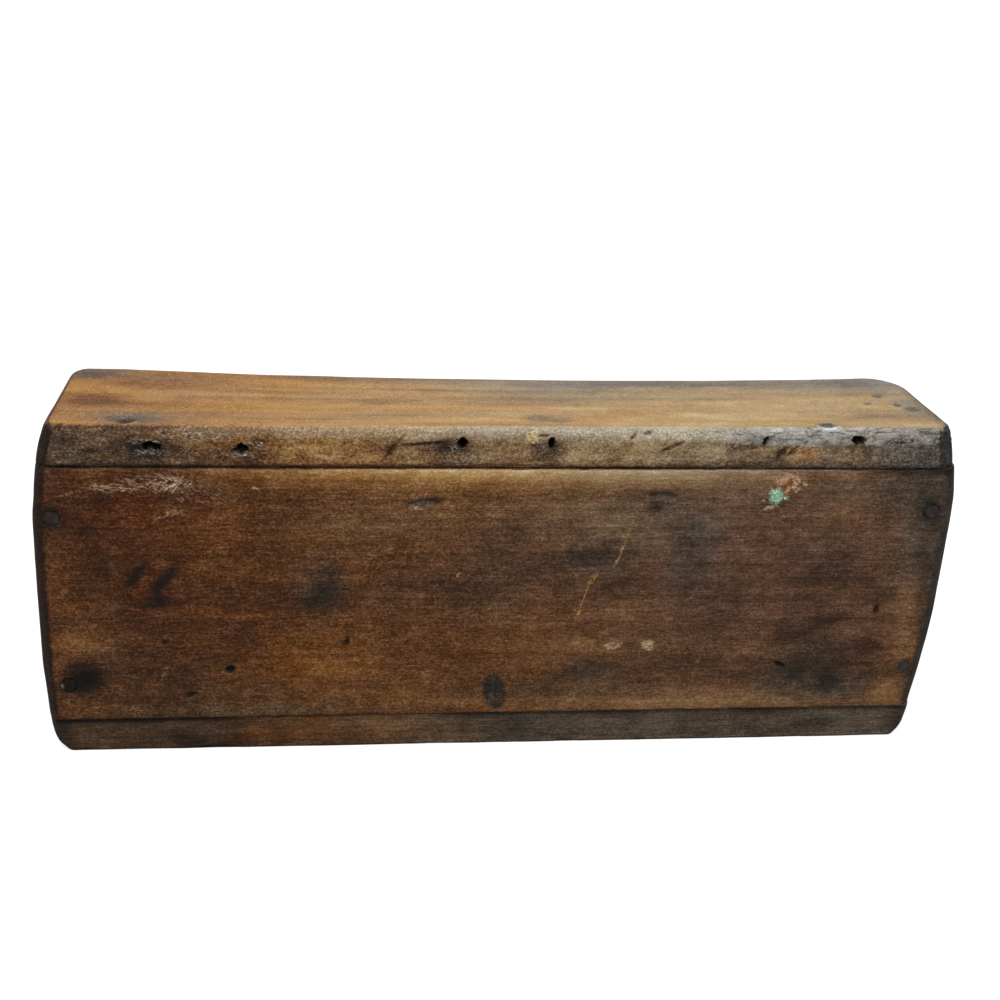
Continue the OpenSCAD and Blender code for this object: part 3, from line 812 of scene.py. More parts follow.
# The upper front edge is rubbed rounder towards the right, where the seam under the lid closes up
lid_r = long_edge_radii(lid, lid_lo, lid_hi, (1.6, 5.4, 1.2, 3.0), (0.7, 2.6))
lid_r = np.where(lid_r > 4, lid_r * (0.42 + 0.45 * step(lid[:, 0], -120, 100)), lid_r)
lid_r *= 1 - 0.45 * step(lid[:, 0], 60, 130) * (lid[:, 2] < 150)
lid = ease_edges(lid, lid_lo, lid_hi, lid_r)
lid = bow_ends(round_corners(lid, HALF_DEPTH, (7.0, 12.0), (10.0, 20.0)), END_RUN)

# The back corners of both ends stand a few mm short of the front ones. The top sags towards the back
# edge along a parabola, and curls up again near the ends
LEFT_SKEW, RIGHT_SKEW = 2.2, 2.4
SAG_DEEP, SAG_MIDDLE, SAG_SPREAD, CURL_MAX = 1.0, 20, 11400, 2.6
toward_back = np.clip((lid[:, 1] + HALF_DEPTH) / (2 * HALF_DEPTH), 0, 1)
lid[:, 0] += LEFT_SKEW * toward_back * step(-lid[:, 0], HALF_LENGTH - 60, HALF_LENGTH - 12)
lid[:, 0] -= RIGHT_SKEW * toward_back * step(lid[:, 0], HALF_LENGTH - 60, HALF_LENGTH - 12)
sag = np.minimum(-SAG_DEEP + (lid[:, 0] - SAG_MIDDLE) ** 2 / SAG_SPREAD, CURL_MAX)
lid[:, 2] += sag * toward_back * (lid[:, 2] - lid_lo[2]) / (lid_hi[2] - lid_lo[2])
print("lid", len(lid), "points; its back edge sags by up to", round(-sag.min(), 1), "mm")

# %% [markdown]
# Six open nail holes from older hinges break the lid's front edge, with cracks and dents beside them.
# Each is real depth: points of the grid move inwards by the depth of the mark, so light and shadow
# find it from every side. A bump map would be cheaper, but it stays flat when seen along the edge.

# %% Lid wear
EDGE_CRACKS = [
    # along the lid, height, half length, half width, turn, depth
    (-54.5, 155.0, 6.5, 0.8, 52, 0.8), (-41, 157.6, 11, 0.7, 5, 0.5), (-76, 157.6, 2.2, 0.7, 45, 0.5),
    (75.3, 156.4, 6.5, 0.7, 24, 0.7), (128.5, 154.2, 4.2, 1.0, 55, 0.8),
    (57.3, 161.8, 2.2, 1.0, 50, 0.8), (14.2, 161.6, 2.6, 0.8, 0, 0.7),
    (63.5, 163.2, 2.0, 0.6, 10, 0.4), (-115, 157.0, 4.2, 0.9, 14, 0.7),
    (134, 155.0, 3.2, 0.9, 48, 0.7),
]
TOP_DENTS = [
    # along the lid, from front to back, half length, half width, turn, depth
    (-173, -35.6, 4.4, 2.6, 8, 1.0), (151.4, -34.8, 5.2, 2.6, 0, 1.2),
    (191.3, 10.2, 3.0, 3.0, 25, 0.7), (196.6, -3.9, 2.2, 2.6, 0, 0.7), (202, -10.2, 4.6, 4.2, 20, 0.8),
    (182, -2, 2.6, 2.0, 0, 0.4),
]


def ragged_ovals(p, a, b, marks, amount, size, seed):
    """Each mark, with every point's distance from it as a share of its half sizes; an amount of noise
    of a size in mm makes the rim ragged."""
    wander = amount * noise(p, size, seed)
    for mark in marks:
        yield mark, oval(a, b, mark[:2], mark[2:4], mark[4]) + wander


n = normals(lid, lid_faces)
x, y, z = lid.T
facing = step(-n[:, 1], 0.35, 0.8)
fore = step(-n[:, 1], 0.1, 0.3)
topside = step(n[:, 2], 0.55, 0.9)
arris = step(-n[:, 1], 0.12, 0.35) * step(n[:, 2], 0.2, 0.45)
depth = 0.12 * rough(lid, (60, 18, 18), 11) + facing * 0.1 * rough(lid, (9, 5, 3), 12)
# The right part of the upper front edge is gnarled, with lumps and with wavy grooves along the grain
pitted = step(x, 70, 130) * fore * step(z, 155, 159)
gnarl = rough(lid, (6, 3, 1.8), 13)
lumps = np.clip(gnarl, -0.25, 1)
waved = lid + [[0, 0, 1.0]] * noise(lid, 7, 28)[:, None]
groove = np.exp(-((rough(waved, (9, 6, 2.2), 29) / 0.14) ** 2))
depth += 0.25 * arris * lumps + pitted * (0.5 * lumps + 0.7 * groove)

hole_dark, crack_dark, dent_dark = np.zeros((3, len(lid)))
for (*_, deep), away in ragged_ovals(lid, x, z, OLD_HOLES, 0.32, 1.7, 14):
    in_hole = (y < -30) * step(away, 1.25, 0.8) * fore
    depth += deep * in_hole + 0.35 * facing * np.exp(-((away - 1.9) ** 2))
    hole_dark = np.maximum(hole_dark, in_hole)
for (*_, deep), away in ragged_ovals(lid, x, z, EDGE_CRACKS, 0.5, 2.4, 25):
    in_crack = fore * step(away, 1.45, 0.5)
    depth += deep * in_crack
    crack_dark = np.maximum(crack_dark, in_crack)
for (*_, deep), away in ragged_ovals(lid, x, y, TOP_DENTS, 0.0, 1.0, 1):
    in_dent = topside * step(away, 1.25, 0.4)
    depth += deep * in_dent
    dent_dark = np.maximum(dent_dark, in_dent)
seam_chips = step(-n[:, 1], 0.2, 0.6) * step(z, lid_lo[2] + 2.0, lid_lo[2] + 0.4)
depth += seam_chips * 1.1 * step(rough(lid, (6, 4, 4), 15), 0.0, 0.8)
lid -= n * depth[:, None]
print("deepest mark in the lid", round(depth.max(), 1), "mm")

# %% [markdown]
# The lid's top is pale and streaky, greyer towards the back, and stained at the ends. Painting the
# colours on by hand would do. Here the fields are sums of soft spots and of noise along the grain, so
# that each stain can be moved or weakened by its own numbers.

# %% Lid top colours
TOP_TONES = [
    # along the lid, from front to back, half sizes, turn, change of tone
    (-200, 32, 20, 9, 0, -0.22), (-193, -5, 16, 9, 0, -0.26), (-172, -21, 12, 4, 0, 0.06),
    (-171, -33, 16, 6, 0, -0.26), (-168, 16, 24, 8, 0, -0.18), (-158, -9, 26, 4.5, 0, -0.08),
    (-112, -27, 32, 9, 0, 0.05), (-110, 4.5, 45, 4, 0, 0.035), (-105, 17, 34, 4, 0, -0.035),
    (-85, 5, 20, 4, 0, 0.025), (-60, -22, 60, 12, 0, 0.02), (-45, 0, 70, 40, 0, 0.03),
    (-40, 38, 90, 10, 0, -0.12), (-30, 18, 90, 1.8, 0, -0.12), (0, 21, 16, 5, 0, 0.03),
    (5, -22, 16, 8, 0, 0.03), (18, -27, 12, 6, 0, -0.08), (22, 3, 36, 12, 0, -0.1),
    (34, 25, 44, 12, 0, -0.1), (76, 24, 12, 6, 0, 0.04), (90, 6, 60, 2, 0, -0.05),
    (114, -3, 34, 5, 0, 0.035), (120, -20, 40, 12, 0, 0.03), (120, 38, 90, 20, 0, -0.22),
    (155, -27, 20, 6, 0, -0.04), (160, 13, 26, 6, 0, -0.06), (160, 26, 34, 6, 0, -0.03),
    (185, -27, 25, 6, 0, -0.03), (186, -22, 22, 5, 0, -0.12), (195, 22, 24, 22, -20, -0.1),
    (204, -8, 9, 22, 12, -0.07),
]
TOP_GREYS = [
    # stains and weathered patches of the top: the same, with the change of grey
    (-200, 34, 20, 8, 0, 0.4), (-172, -31, 17, 6, 0, 0.5), (-160, 14, 40, 10, 0, 0.1),
    (-155, -1, 34, 9, 0, 0.1), (-150, -32, 30, 6, 0, 0.07), (-110, 17, 40, 6, 0, 0.06),
    (-75, 18, 20, 6, 0, 0.06), (18, -27, 12, 6, 0, 0.1), (22, 5, 45, 11, 0, 0.16),
    (34, 25, 44, 12, 0, 0.25), (40, 8, 20, 6, 0, 0.06), (150, 20, 60, 10, 0, 0.05),
    (165, 0, 30, 30, 0, 0.05), (180, -29, 34, 7, 0, 0.1), (200, 30, 26, 16, 0, 0.2),
    (204, -8, 9, 22, 12, 0.35),
]
TOP_TONE = 0.725
# Streaks show most on the left, and the whole top gets paler towards the right
streak = rough(lid, (90, 5, 40), 16)
tone = TOP_TONE + (0.05 + 0.04 * step(x, 0, -120)) * streak + 0.05 * rough(lid, (30, 10, 30), 17)
tone += 0.11 * step(x, -150, 80) + topside * blots(x, y, TOP_TONES)
grey = 0.5 * step(y, 8, 40) * step(x, -120, 60) + 0.1 * step(x, 0, 120) + 0.08 * step(x, -120, -60)
grey = topside * (grey - 0.03 - 0.1 * streak + blots(x, y, TOP_GREYS))
print("tone of the lid's top", round(np.average(tone, weights=topside), 2))

# %% [markdown]
# The front edge is brown, darker towards both ends and round the old holes. The back edge is never
# seen from the front; it is dull, and rusty where the hinge leaves lie on it. Each face's field is
# worked out for all points, and the direction that a point faces decides which field it gets.

# %% Lid edge colours
HINGE_X, HINGE_HALF = [-143.4, 0.0, 143.4], 27.0
EDGE_TONE, BACK_EDGE_TONE, BACK_EDGE_GREY = 0.675, 0.6, 0.2
EDGE_TONES = [
    # along the lid, height, half sizes, turn, change of tone
    (-183, 160.5, 20, 4, 0, 0.1), (-164, 154, 8, 5, 0, -0.26), (-143, 157.5, 14, 3, 0, 0.07),
    (-121, 152, 10, 5.5, 0, -0.28), (-110, 152, 10, 6, 0, -0.08), (-82, 152, 34, 6, 0, 0.03),
    (-60, 147, 90, 1.6, 0, -0.12), (-32, 156, 12, 3.4, 5, -0.2), (-26, 156.6, 9, 3.8, 0, -0.26),
    (-24, 152, 9, 4, 0, -0.08), (-10, 153, 40, 5, 0, 0.02), (18, 156, 8, 5, 0, -0.36),
    (22, 151.5, 9, 4, 0, -0.07), (66, 155, 42, 7, 0, 0.05), (100, 148, 60, 2.5, 0, -0.14),
    (112, 151, 30, 6, 0, -0.04), (113, 158, 12, 3, 0, -0.12), (128, 153, 5, 4, 50, -0.2),
    (139, 153.5, 9, 4, 0, 0.06), (165, 152.5, 26, 4, 0, 0.04), (167, 159, 8, 5, 0, -0.16),
    (180, 149, 36, 3.4, 0, -0.1),
]


def blend(a, b, share):
    """a where the share is 0, b where it is 1, and a mix between."""
    return a * (1 - share) + b * share


edge_tone = EDGE_TONE + 0.1 * rough(lid, (16, 8, 5), 18) + 0.12 * rough(lid, (5, 3, 2.6), 26)
edge_tone += 0.04 * step(np.abs(x - 40), 60, 20) - 0.275 * step(x, -95, -185) - 0.23 * step(x, 155, 195)
edge_tone += blots(x, z, EDGE_TONES)
edge_grey = 0.24 * step(x, -90, -190) + 0.22 * step(x, -75, -35) + 0.1 * step(x, 40, 80)
edge_grey += 0.36 * step(x, 160, 195) + 0.08 * rough(lid, (20, 8, 8), 20)
tone, grey = blend(tone, edge_tone, facing), blend(grey, edge_grey, facing)

rear = step(n[:, 1], 0.4, 0.8)
rust = rear * sum(step(np.abs(x - hx), HINGE_HALF + 9, HINGE_HALF - 3) for hx in HINGE_X)
tone = blend(tone, BACK_EDGE_TONE + 0.09 * rough(lid, (40, 8, 6), 23), rear) - 0.12 * rust
grey = blend(grey, BACK_EDGE_GREY + 0.12 * rough(lid, (26, 8, 8), 24), rear)
print("tone of the lid's front edge", round(np.average(tone, weights=facing), 2))

# %% [markdown]
# Along the upper front edge hands and tools rubbed a grey band, and a painted sheen lies on it where the
# edge turns up to the light. Its lower rim is soft on the left and crisp on the right, where the wood is
# gnarled and its hollows carry painted shade. Then come the ends, dark end grain with painted shade where
# the corners round away, the underside, and everything that is sunk, which is darker.

# %% Rubbed band with painted sheen, and ends of the lid
BAND_LOW, BAND_TONE, END_GRAIN_AND_SHADE_TONE, UNDERSIDE_TONE = 160.6, 0.8, 0.17, 0.66
BAND_TONES = [
    # the brightest stretches of the band, worn wood and painted sheen together
    (-176, 161.5, 14, 3, 0, 0.08), (-96, 161.5, 14, 2.6, 0, 0.09), (-6, 161.5, 8, 2.6, 0, 0.09),
    (78, 161.5, 24, 2.6, 0, 0.07), (200, 161, 8, 3, 0, 0.08),
]
band_low = BAND_LOW - 0.8 * step(x, 20, 60) - 1.8 * step(x, 90, 120) + 1.3 * rough(lid, (18, 60, 60), 19)
fade = step(x, 110, 60)
band_wear_and_sheen = fore * step(z, band_low - 1 - fade, band_low + 1.2 + 0.4 * fade)
band_wear_and_sheen *= 0.35 * step(x, -200, -150) + 0.65 * step(x, -140, -95)
gnarled = band_wear_and_sheen * step(x, 80, 125)
band_tone = BAND_TONE + 0.1 * step(np.abs(x - 10), 110, 60) - 0.16 * step(x, 165, 195)
# The band is worn wood with a painted sheen; in its gnarled part the sunk lumps and grooves are darker, a
# painted shade
tone += 0.8 * band_wear_and_sheen * (band_tone - tone) + gnarled * (0.09 - 0.1 * gnarl - 0.22 * groove)
grey += band_wear_and_sheen * (0.3 + 0.25 * step(x, -60, 0) + 0.3 * step(x, 80, 125) - grey)
tone += fore * blots(x, z, BAND_TONES) - 0.05 * arris * step(x, -110, -180)

# The cut end is dark and reddish on the left, and paler and grey on the right. Its darkness is partly
# end grain and partly painted shade, where the corners round away from the light
right = step(x, 0, 100)
end_grain_and_shade = step(np.abs(n[:, 0]) + 0.05 * noise(lid, 3, 27), 0.06, 0.22) * (1 - 0.5 * topside)
underside = step(-n[:, 2], 0.5, 0.9)
tone = blend(tone, END_GRAIN_AND_SHADE_TONE + 0.1 * right + 0.06 * rough(lid, (6, 6, 6), 21), end_grain_and_shade)
grey = blend(grey, 0.75 * right, end_grain_and_shade)
tone -= 0.2 * topside * step(np.abs(x), 204, 212)
tone = blend(tone, UNDERSIDE_TONE + 0.05 * rough(lid, (60, 8, 20), 22), underside)
tone -= 0.75 * hole_dark + 0.36 * crack_dark + 0.24 * dent_dark + 0.2 * seam_chips
grey = np.clip(grey * (1 - hole_dark) * (1 - 0.5 * crack_dark) + 0.25 * dent_dark, -0.1, 1)
red = 0.4 * end_grain_and_shade * (1 - right) + 0.45 * band_wear_and_sheen * step(x, 90, 40) + 0.4 * rust
coarse = facing * (1.1 + 0.4 * band_wear_and_sheen - 0.5 * gnarled) + topside * (0.3 + 0.3 * step(x, 60, -120))
make_piece(
    "worn_lid_board", lid, lid_faces, LID_PINE, "lid", "lid_board",
    {"tone": tone, "grey": grey, "red": red, "coarse": coarse},
)

# %% [markdown]
# The front panel is a wide pine board, nailed to the end boards near its corners, with two housings
# sawn into its inner face to hold the dividers. Its grid is finest at the nails, the punched holes and
# the walls of the housings. A Boolean modifier could cut these, but it leaves long thin faces.

# %% Front panel
FRONT_NAILS = [(-207.7, 120.8), (-204.7, 35.9), (206.9, 123.8), (204.7, 40.0)]
FRONT_PITS = [
    # punched holes and gouges: along, height, half width, half height, turn, depth
    (-129.3, 43.5, 2.1, 1.6, 10, 2.4), (140, 42.4, 2.9, 0.9, -25, 1.4),
    (-148, 30.6, 1.9, 0.9, 10, 1.2), (-74.6, 57.5, 1.8, 1.0, 0, 1.0), (186, 72.6, 1.3, 1.7, 0, 0.9),
    (-160, 58, 1.0, 0.7, 0, 0.6),
]
DIVIDER_X = np.mean([corner[0] for corner in node_box("right_divider")])
HOUSING_DEEP, HOUSING_HALF = 4.0, 5.3


def board_lines(lo, hi, counts, focus_x, focus_z, edge=2.5):
    """Grid lines for a board along X: denser at given places along it and up it, and at all its edges."""
    return [
        grid_lines(lo[0], hi[0], counts[0], focus_x + END_FOCUS),
        grid_lines(lo[1], hi[1], counts[1], [(lo[1], edge, 2), (hi[1], edge, 2)]),
        grid_lines(lo[2], hi[2], counts[2], focus_z + [(lo[2], edge, 3), (hi[2], edge, 3)]),
    ]


lo, hi = long_box("front_panel")
focus_x = [(-206, 6, 2.6), (206, 6, 2.6), (-39, 8, 1.7), (72, 8, 1.7), (-2, 6, 1.5)]
focus_x += [(pit[0], 3.2, 2.6) for pit in FRONT_PITS[:2]]
focus_x += [(s * (DIVIDER_X + d), 1, 2.5) for s in (-1, 1) for d in (-HOUSING_HALF, HOUSING_HALF)]
focus_z = [(122, 6, 2.2), (38, 6, 2.2), (44, 3, 1.6), (129.5, 4, 1.8), (30, 6, 1.3)]
front, front_faces = box_shell(board_lines(lo, hi, (300, 10, 122), focus_x, focus_z))
front_r = long_edge_radii(front, lo, hi, (0.8, 2.3, 0.4, 0.4), (0.8, 0.5))
front_r *= 1 - 0.45 * step(front[:, 0], 60, 130) * (front[:, 2] > 100)
front = ease_edges(front, lo, hi, front_r)
front = bow_ends(round_corners(front, HALF_DEPTH, (6.5, 10.0), (8.0, 8.0)), END_RUN)
print("front panel", len(front), "points; dividers", round(DIVIDER_X, 1), "mm from the middle")

# %% [markdown]
# The panel carries the caddy's history: nail heads sunk in pockets, punched holes, dents, a dark knot
# that stands a little proud of its sunken rim, and chipped edges. As on the lid, each is real depth.

# %% Front panel wear
NAIL_HEAD_R, POCKET_DEEP, DISH_MM = 3.7, 1.5, 6.5
# Crushed wood nearly covers the fourth head, so its pocket is smaller than the head
FRONT_POCKETS = [3.4, 3.6, 3.5, 2.3]
FRONT_DENTS = [
    # along, height, half width, half height, turn, depth
    (-39, 128.1, 7.0, 2.4, 9, 1.1), (74.3, 131.8, 6.5, 1.9, -8, 1.1), (134, 137, 5.5, 5.5, 0, 0.35),
    (54.7, 53.7, 3.7, 1.4, 8, 0.35), (71.7, 54.1, 3.2, 2.1, 0, 0.35), (143, 39.5, 1.2, 3, 15, 0.6),
]
# Dents deeper than this are old ones, grimy inside, with painted shade along the upper rim
OLD_DENT = 0.8
KNOT = ((-2.2, 29.4), (5.6, 9.8), 12)


def nail_pockets(p, nails, radii, ragged, seed):
    """Cover of the pockets that hammering left at nails, and of the shallow dish round each pocket."""
    pocket, dish = np.zeros((2, len(p)))
    wander = ragged * noise(p, 2.5, seed)
    for (nail_x, nail_z), r in zip(nails, radii):
        away = np.hypot(p[:, 0] - nail_x, p[:, 2] - nail_z) + wander
        pocket = np.maximum(pocket, step(away, r + 0.5, r))
        dish += np.exp(-((away / DISH_MM) ** 2))
    return pocket, dish


def housings(p, n, inner):
    """Depth of the two housings in a panel's inner face, as wide as a divider with its fit."""
    beside = np.abs(np.abs(p[:, 0]) - DIVIDER_X)
    cut = step(beside, HOUSING_HALF + 0.2, HOUSING_HALF - 0.2)
    return HOUSING_DEEP * cut * step(inner * n[:, 1], 0.5, 0.8)


n = normals(front, front_faces)
x, _, z = front.T
facing = step(-n[:, 1], 0.4, 0.8)
depth = 0.16 * rough(front, (70, 30, 22), 31) + facing * 0.06 * rough(front, (14, 6, 3), 32)
pocket, dish = nail_pockets(front, FRONT_NAILS, FRONT_POCKETS, 0.45, 33)
pocket *= facing
depth += 0.4 * facing * dish + POCKET_DEEP * pocket

pit_dark, dent_dark, dent_upper_shade = np.zeros((3, len(front)))
for (*_, deep), away in ragged_ovals(front, x, z, FRONT_PITS, 0.2, 1.3, 34):
    in_pit = facing * step(away, 1.25, 0.75)
    depth += deep * in_pit
    pit_dark = np.maximum(pit_dark, in_pit)
for (_, middle, *_, deep), away in ragged_ovals(front, x, z, FRONT_DENTS, 0.12, 2, 35):
    in_dent = facing * step(away, 1.15, 0.5)
    depth += deep * in_dent
    if deep > OLD_DENT:
        dent_dark = np.maximum(dent_dark, in_dent)
        dent_upper_shade += facing * np.exp(-(((away - 0.9) / 0.35) ** 2)) * step(z - middle, -0.6, 0.8)
knot = oval(x, z, *KNOT) + 0.1 * noise(front, 3, 36)
depth += facing * (0.45 * np.exp(-(((knot - 1) / 0.16) ** 2)) - 0.3 * step(knot, 1.0, 0.4))
low_chips = step(-n[:, 1], 0.2, 0.6) * step(z, lo[2] + 2.4, lo[2] + 0.4)
low_chips *= step(rough(front, (9, 5, 5), 37), 0.2, 0.8)
top_chips = step(-n[:, 1], 0.1, 0.5) * step(z, hi[2] - 2.6, hi[2] - 0.5)
top_chips *= step(rough(front, (5, 4, 4), 38), 0.0, 0.8)
depth += 0.7 * low_chips + 1.0 * top_chips + housings(front, n, 1)
front -= n * depth[:, None]
print("deepest cut in the front panel", round(depth.max(), 1), "mm")

# %% [markdown]
# The panel is golden where hands rubbed the upper edge and the corners, and dark where oil and rust
# went in; its right half keeps more red shellac. Each of these is a soft spot at its own place. Their
# places wander with a little noise, so that no rim is a true oval.

# %% Spots on the front panel
TONE_SPOTS = [
    # along, height, half sizes, turn, change of tone
    # the upper part, golden where hands rubbed it
    (-186, 131, 5, 4, 0, -0.14), (-160, 145, 50, 7, 0, 0.03), (-149, 136, 26, 8, 0, -0.09),
    (-80, 137, 20, 8, 0, 0.03), (-20, 147, 110, 10, 0, 0.4), (20, 136, 40, 9, 0, 0.06),
    (70, 127.5, 5, 3, 0, -0.2), (110, 146, 70, 9, 0, 0.2), (150, 136, 14, 8, 0, -0.03),
    (170, 128, 30, 9, 0, 0.05), (192, 136, 16, 9, 0, -0.045), (196, 138, 18, 9, 0, -0.08),
    # the left third
    (-203, 46, 5, 1.5, 15, -0.15), (-199, 93, 10, 8, 0, -0.04), (-198, 69, 12, 12, 0, 0.05),
    (-197, 56, 12, 12, 0, 0.12), (-192, 112, 16, 26, 0, -0.08), (-177, 47, 14, 10, 0, -0.03),
    (-172, 75, 24, 18, 0, -0.04), (-150, 70, 60, 40, 0, -0.05), (-150, 112, 40, 18, 0, -0.02),
    (-140, 113, 14, 13, 0, 0.04), (-139, 62, 14, 8, 0, 0.03), (-123, 60, 11, 2.8, 0, -0.13),
    (-115, 104, 14, 5, 0, -0.1), (-112, 107, 36, 11, 0, 0.07),
    # the middle
    (-92, 79, 20, 7, 0, -0.1), (-90, 38, 36, 14, 0, 0.06), (-84, 87, 7, 13, -15, -0.2),
    (-79, 92, 14, 10, 0, 0.07), (-78, 45, 34, 9, 0, 0.06), (-72, 118, 34, 14, 0, 0.02),
    (-60, 122, 50, 12, 0, 0.08), (-30, 88, 22, 5, 0, -0.07), (-18, 80, 16, 12, 0, -0.09),
    (0, 96, 34, 14, 0, -0.05), (20, 107, 10, 8, 0, 0.09), (28, 54, 34, 13, 0, 0.12),
    (38, 118, 26, 13, 0, 0.09), (40, 40, 13, 6, 0, -0.14), (41, 91, 12, 6, 0, 0.05),
    (46, 104, 17, 8, 0, -0.13), (75, 75, 30, 8, 0, 0.08), (83, 92, 12, 8, 0, 0.03),
    (90, 104, 12, 18, 0, -0.13),
    # the right third
    (108, 59, 16, 7, 0, -0.03), (120, 114, 60, 22, 0, 0.05), (122, 45, 18, 8, 0, 0.09),
    (140, 55, 50, 22, 0, -0.02), (140, 60, 6, 5, 0, -0.1), (146, 77, 14, 7, 0, -0.03),
    (150, 92, 24, 4, 30, -0.08), (152, 42, 14, 9, 25, -0.16), (165, 68, 30, 4, 28, -0.1),
    (166, 33, 7, 7, 0, -0.16), (168, 91, 12, 7, 0, -0.07), (170, 45, 12, 8, 0, -0.1),
    (172, 76, 12, 7, 0, 0.06), (180, 104, 16, 10, 0, 0.03), (184, 51, 10, 4.5, 0, -0.16),
    (201, 72, 6, 24, 0, 0.15), (206, 112, 7, 34, 0, -0.1),
    # along the lower edge
    (-202, 24, 10, 5, 0, 0.06), (-150, 27, 50, 9, 0, -0.03), (-80, 30, 12, 6, 0, 0.08),
    (-40, 26, 50, 6, 0, 0.05), (-20, 30, 9, 7, 0, -0.03), (20, 30, 12, 6, 0, -0.03),
    (60, 22, 40, 5, 0, 0.1), (92, 29, 22, 6, 0, 0.025), (120, 23, 50, 7, 0, 0.14),
    (157, 30, 26, 7, 0, -0.1), (198, 25, 10, 7, 0, 0.16),
    # grime and rust round the nails, with painted shade in the pockets round the heads
    (-207.7, 120.8, 5.8, 5.8, 0, -0.28), (-204.7, 36, 5, 5, 0, -0.15), (-197, 39, 9.5, 8.6, 25, -0.3),
    (204.7, 40, 5, 4.4, 0, -0.2), (206.9, 123.8, 5.9, 5.9, 0, -0.28),
]
SMEARS = [
    # two thumb-wide smears of tar and their run, and the rust that crept from the lower left nail
    (-171.4, 92.5, 2.4, 8.2, -34, -0.31), (-158.2, 91.0, 3.0, 8.6, -40, -0.35),
    (-163.0, 79.0, 7.0, 3.0, 5, -0.24), (-161.5, 83.0, 3.4, 3.4, 0, -0.16),
    (-196.5, 40, 7.4, 7, 25, -0.2),
]
GREY_SPOTS = [
    # along, height, half sizes, turn, change of grey: weathered and oily patches
    (-188, 55, 18, 14, 0, 0.07), (-187, 105, 20, 24, 0, -0.03), (-170, 130, 44, 14, 0, -0.03),
    (-145, 85, 75, 65, 0, -0.05), (-135, 30, 60, 12, 0, 0.06), (-120, 21, 60, 4, 0, 0.16),
    (-95, 44, 24, 14, 0, -0.05), (-87, 86, 12, 14, 0, 0.25), (-68, 118, 40, 14, 0, 0.1),
    (-50, 84, 20, 14, 0, 0.06), (-5, 75, 22, 10, 0, 0.08), (0, 96, 34, 16, 0, 0.15),
    (25, 28, 60, 6, 0, 0.1), (44, 99, 15, 9, 0, 0.25), (44, 40, 13, 6, 0, 0.2),
    (45, 121, 75, 12, 0, 0.14), (60, 146, 60, 6, 0, 0.15), (62, 107, 10, 8, 0, 0.06),
    (71, 130, 13, 7, 0, 0.1), (90, 104, 14, 18, 0, 0.25), (104, 137, 20, 7, 0, 0.05),
    (125, 30, 12, 7, 0, -0.07), (130, 95, 90, 60, 0, 0.14), (150, 40, 20, 12, 20, 0.2),
    (150, 30, 40, 9, 0, 0.12), (157, 107, 22, 9, 0, 0.06), (168, 134, 42, 9, 0, 0.1),
    (169, 29, 14, 7, 0, 0.23), (190, 137, 16, 8, 0, 0.1), (204, 120, 14, 34, 0, 0.3),
]
RED_SPOTS = [
    # along, height, half sizes, turn, change of red: where shellac and rust are left
    (-197, 39, 11, 10, 0, 0.4), (-172, 116, 42, 24, 0, 0.3), (-170, 130, 44, 14, 0, 0.3),
    (-165, 84, 14, 16, 0, 0.4), (-130, 70, 60, 26, 0, 0.2), (10, 94, 50, 22, 0, 0.35),
    (130, 85, 90, 55, 0, 0.75), (150, 118, 60, 24, 0, 0.25), (184, 51, 14, 6, 0, 0.4),
]
spot_lists = (TONE_SPOTS, SMEARS, GREY_SPOTS, RED_SPOTS)
print("spots of tone, smears, spots of grey and of red:", [len(spots_of) for spots_of in spot_lists])

# %% [markdown]
# The fields of the panel are put together as those of the lid were. The pits, the pockets and the knot
# are darker, the ends are dark end grain with painted shade where the corners round away, and the inner
# face is bare wood. Painted shade lies along the lower edge and in the seam under the lid. Weathering
# greys the chipped upper edge, most of all on the right.

# %% Front panel colours
PANEL_TONE, INNER_TONE = 0.487, 0.62
inner = step(n[:, 1], 0.4, 0.8)
outer = 1 - inner
right = step(x, 0, 100)
# Dark end grain at the ends, with painted shade where the corners round away from the light
end_grain_and_shade = step(np.abs(n[:, 0]) + 0.06 * noise(front, 4, 45), 0.02, 0.26 + 0.3 * right)
wander_x = x + 1.4 * rough(front, (11, 11, 9), 46)
wander_z = z + 1.2 * rough(front, (11, 11, 9), 47)
tone = PANEL_TONE - 0.036 * step(x, -20, -110)
tone += 0.03 * rough(front, (55, 30, 6), 41) + 0.045 * rough(front, (26, 20, 14), 42)
tone += facing * (blots(wander_x, wander_z, TONE_SPOTS) + blots(x, z, SMEARS))
tone = blend(tone, END_GRAIN_AND_SHADE_TONE + 0.05 * right + 0.05 * rough(front, (8, 8, 8), 43), end_grain_and_shade)
tone = blend(tone, INNER_TONE + 0.04 * rough(front, (60, 8, 8), 44), inner)
tone -= 0.55 * pit_dark + 0.04 * dent_dark + 0.28 * dent_upper_shade + 0.3 * pocket
tone -= facing * step(knot, 1.12, 0.8) * (0.27 + 0.1 * noise(front, (1.5, 9, 9), 48))
# Chips on the upper edge are paler; the top face under the lid is a little darker, a painted shade
tone += 0.12 * top_chips - 0.08 * step(n[:, 2], 0.5, 0.9)
# Painted shade along the lowest millimetre, where the panel stands proud of the bottom board
tone -= 0.25 * outer * step(z, lo[2] + 1.0, lo[2] + 0.1)
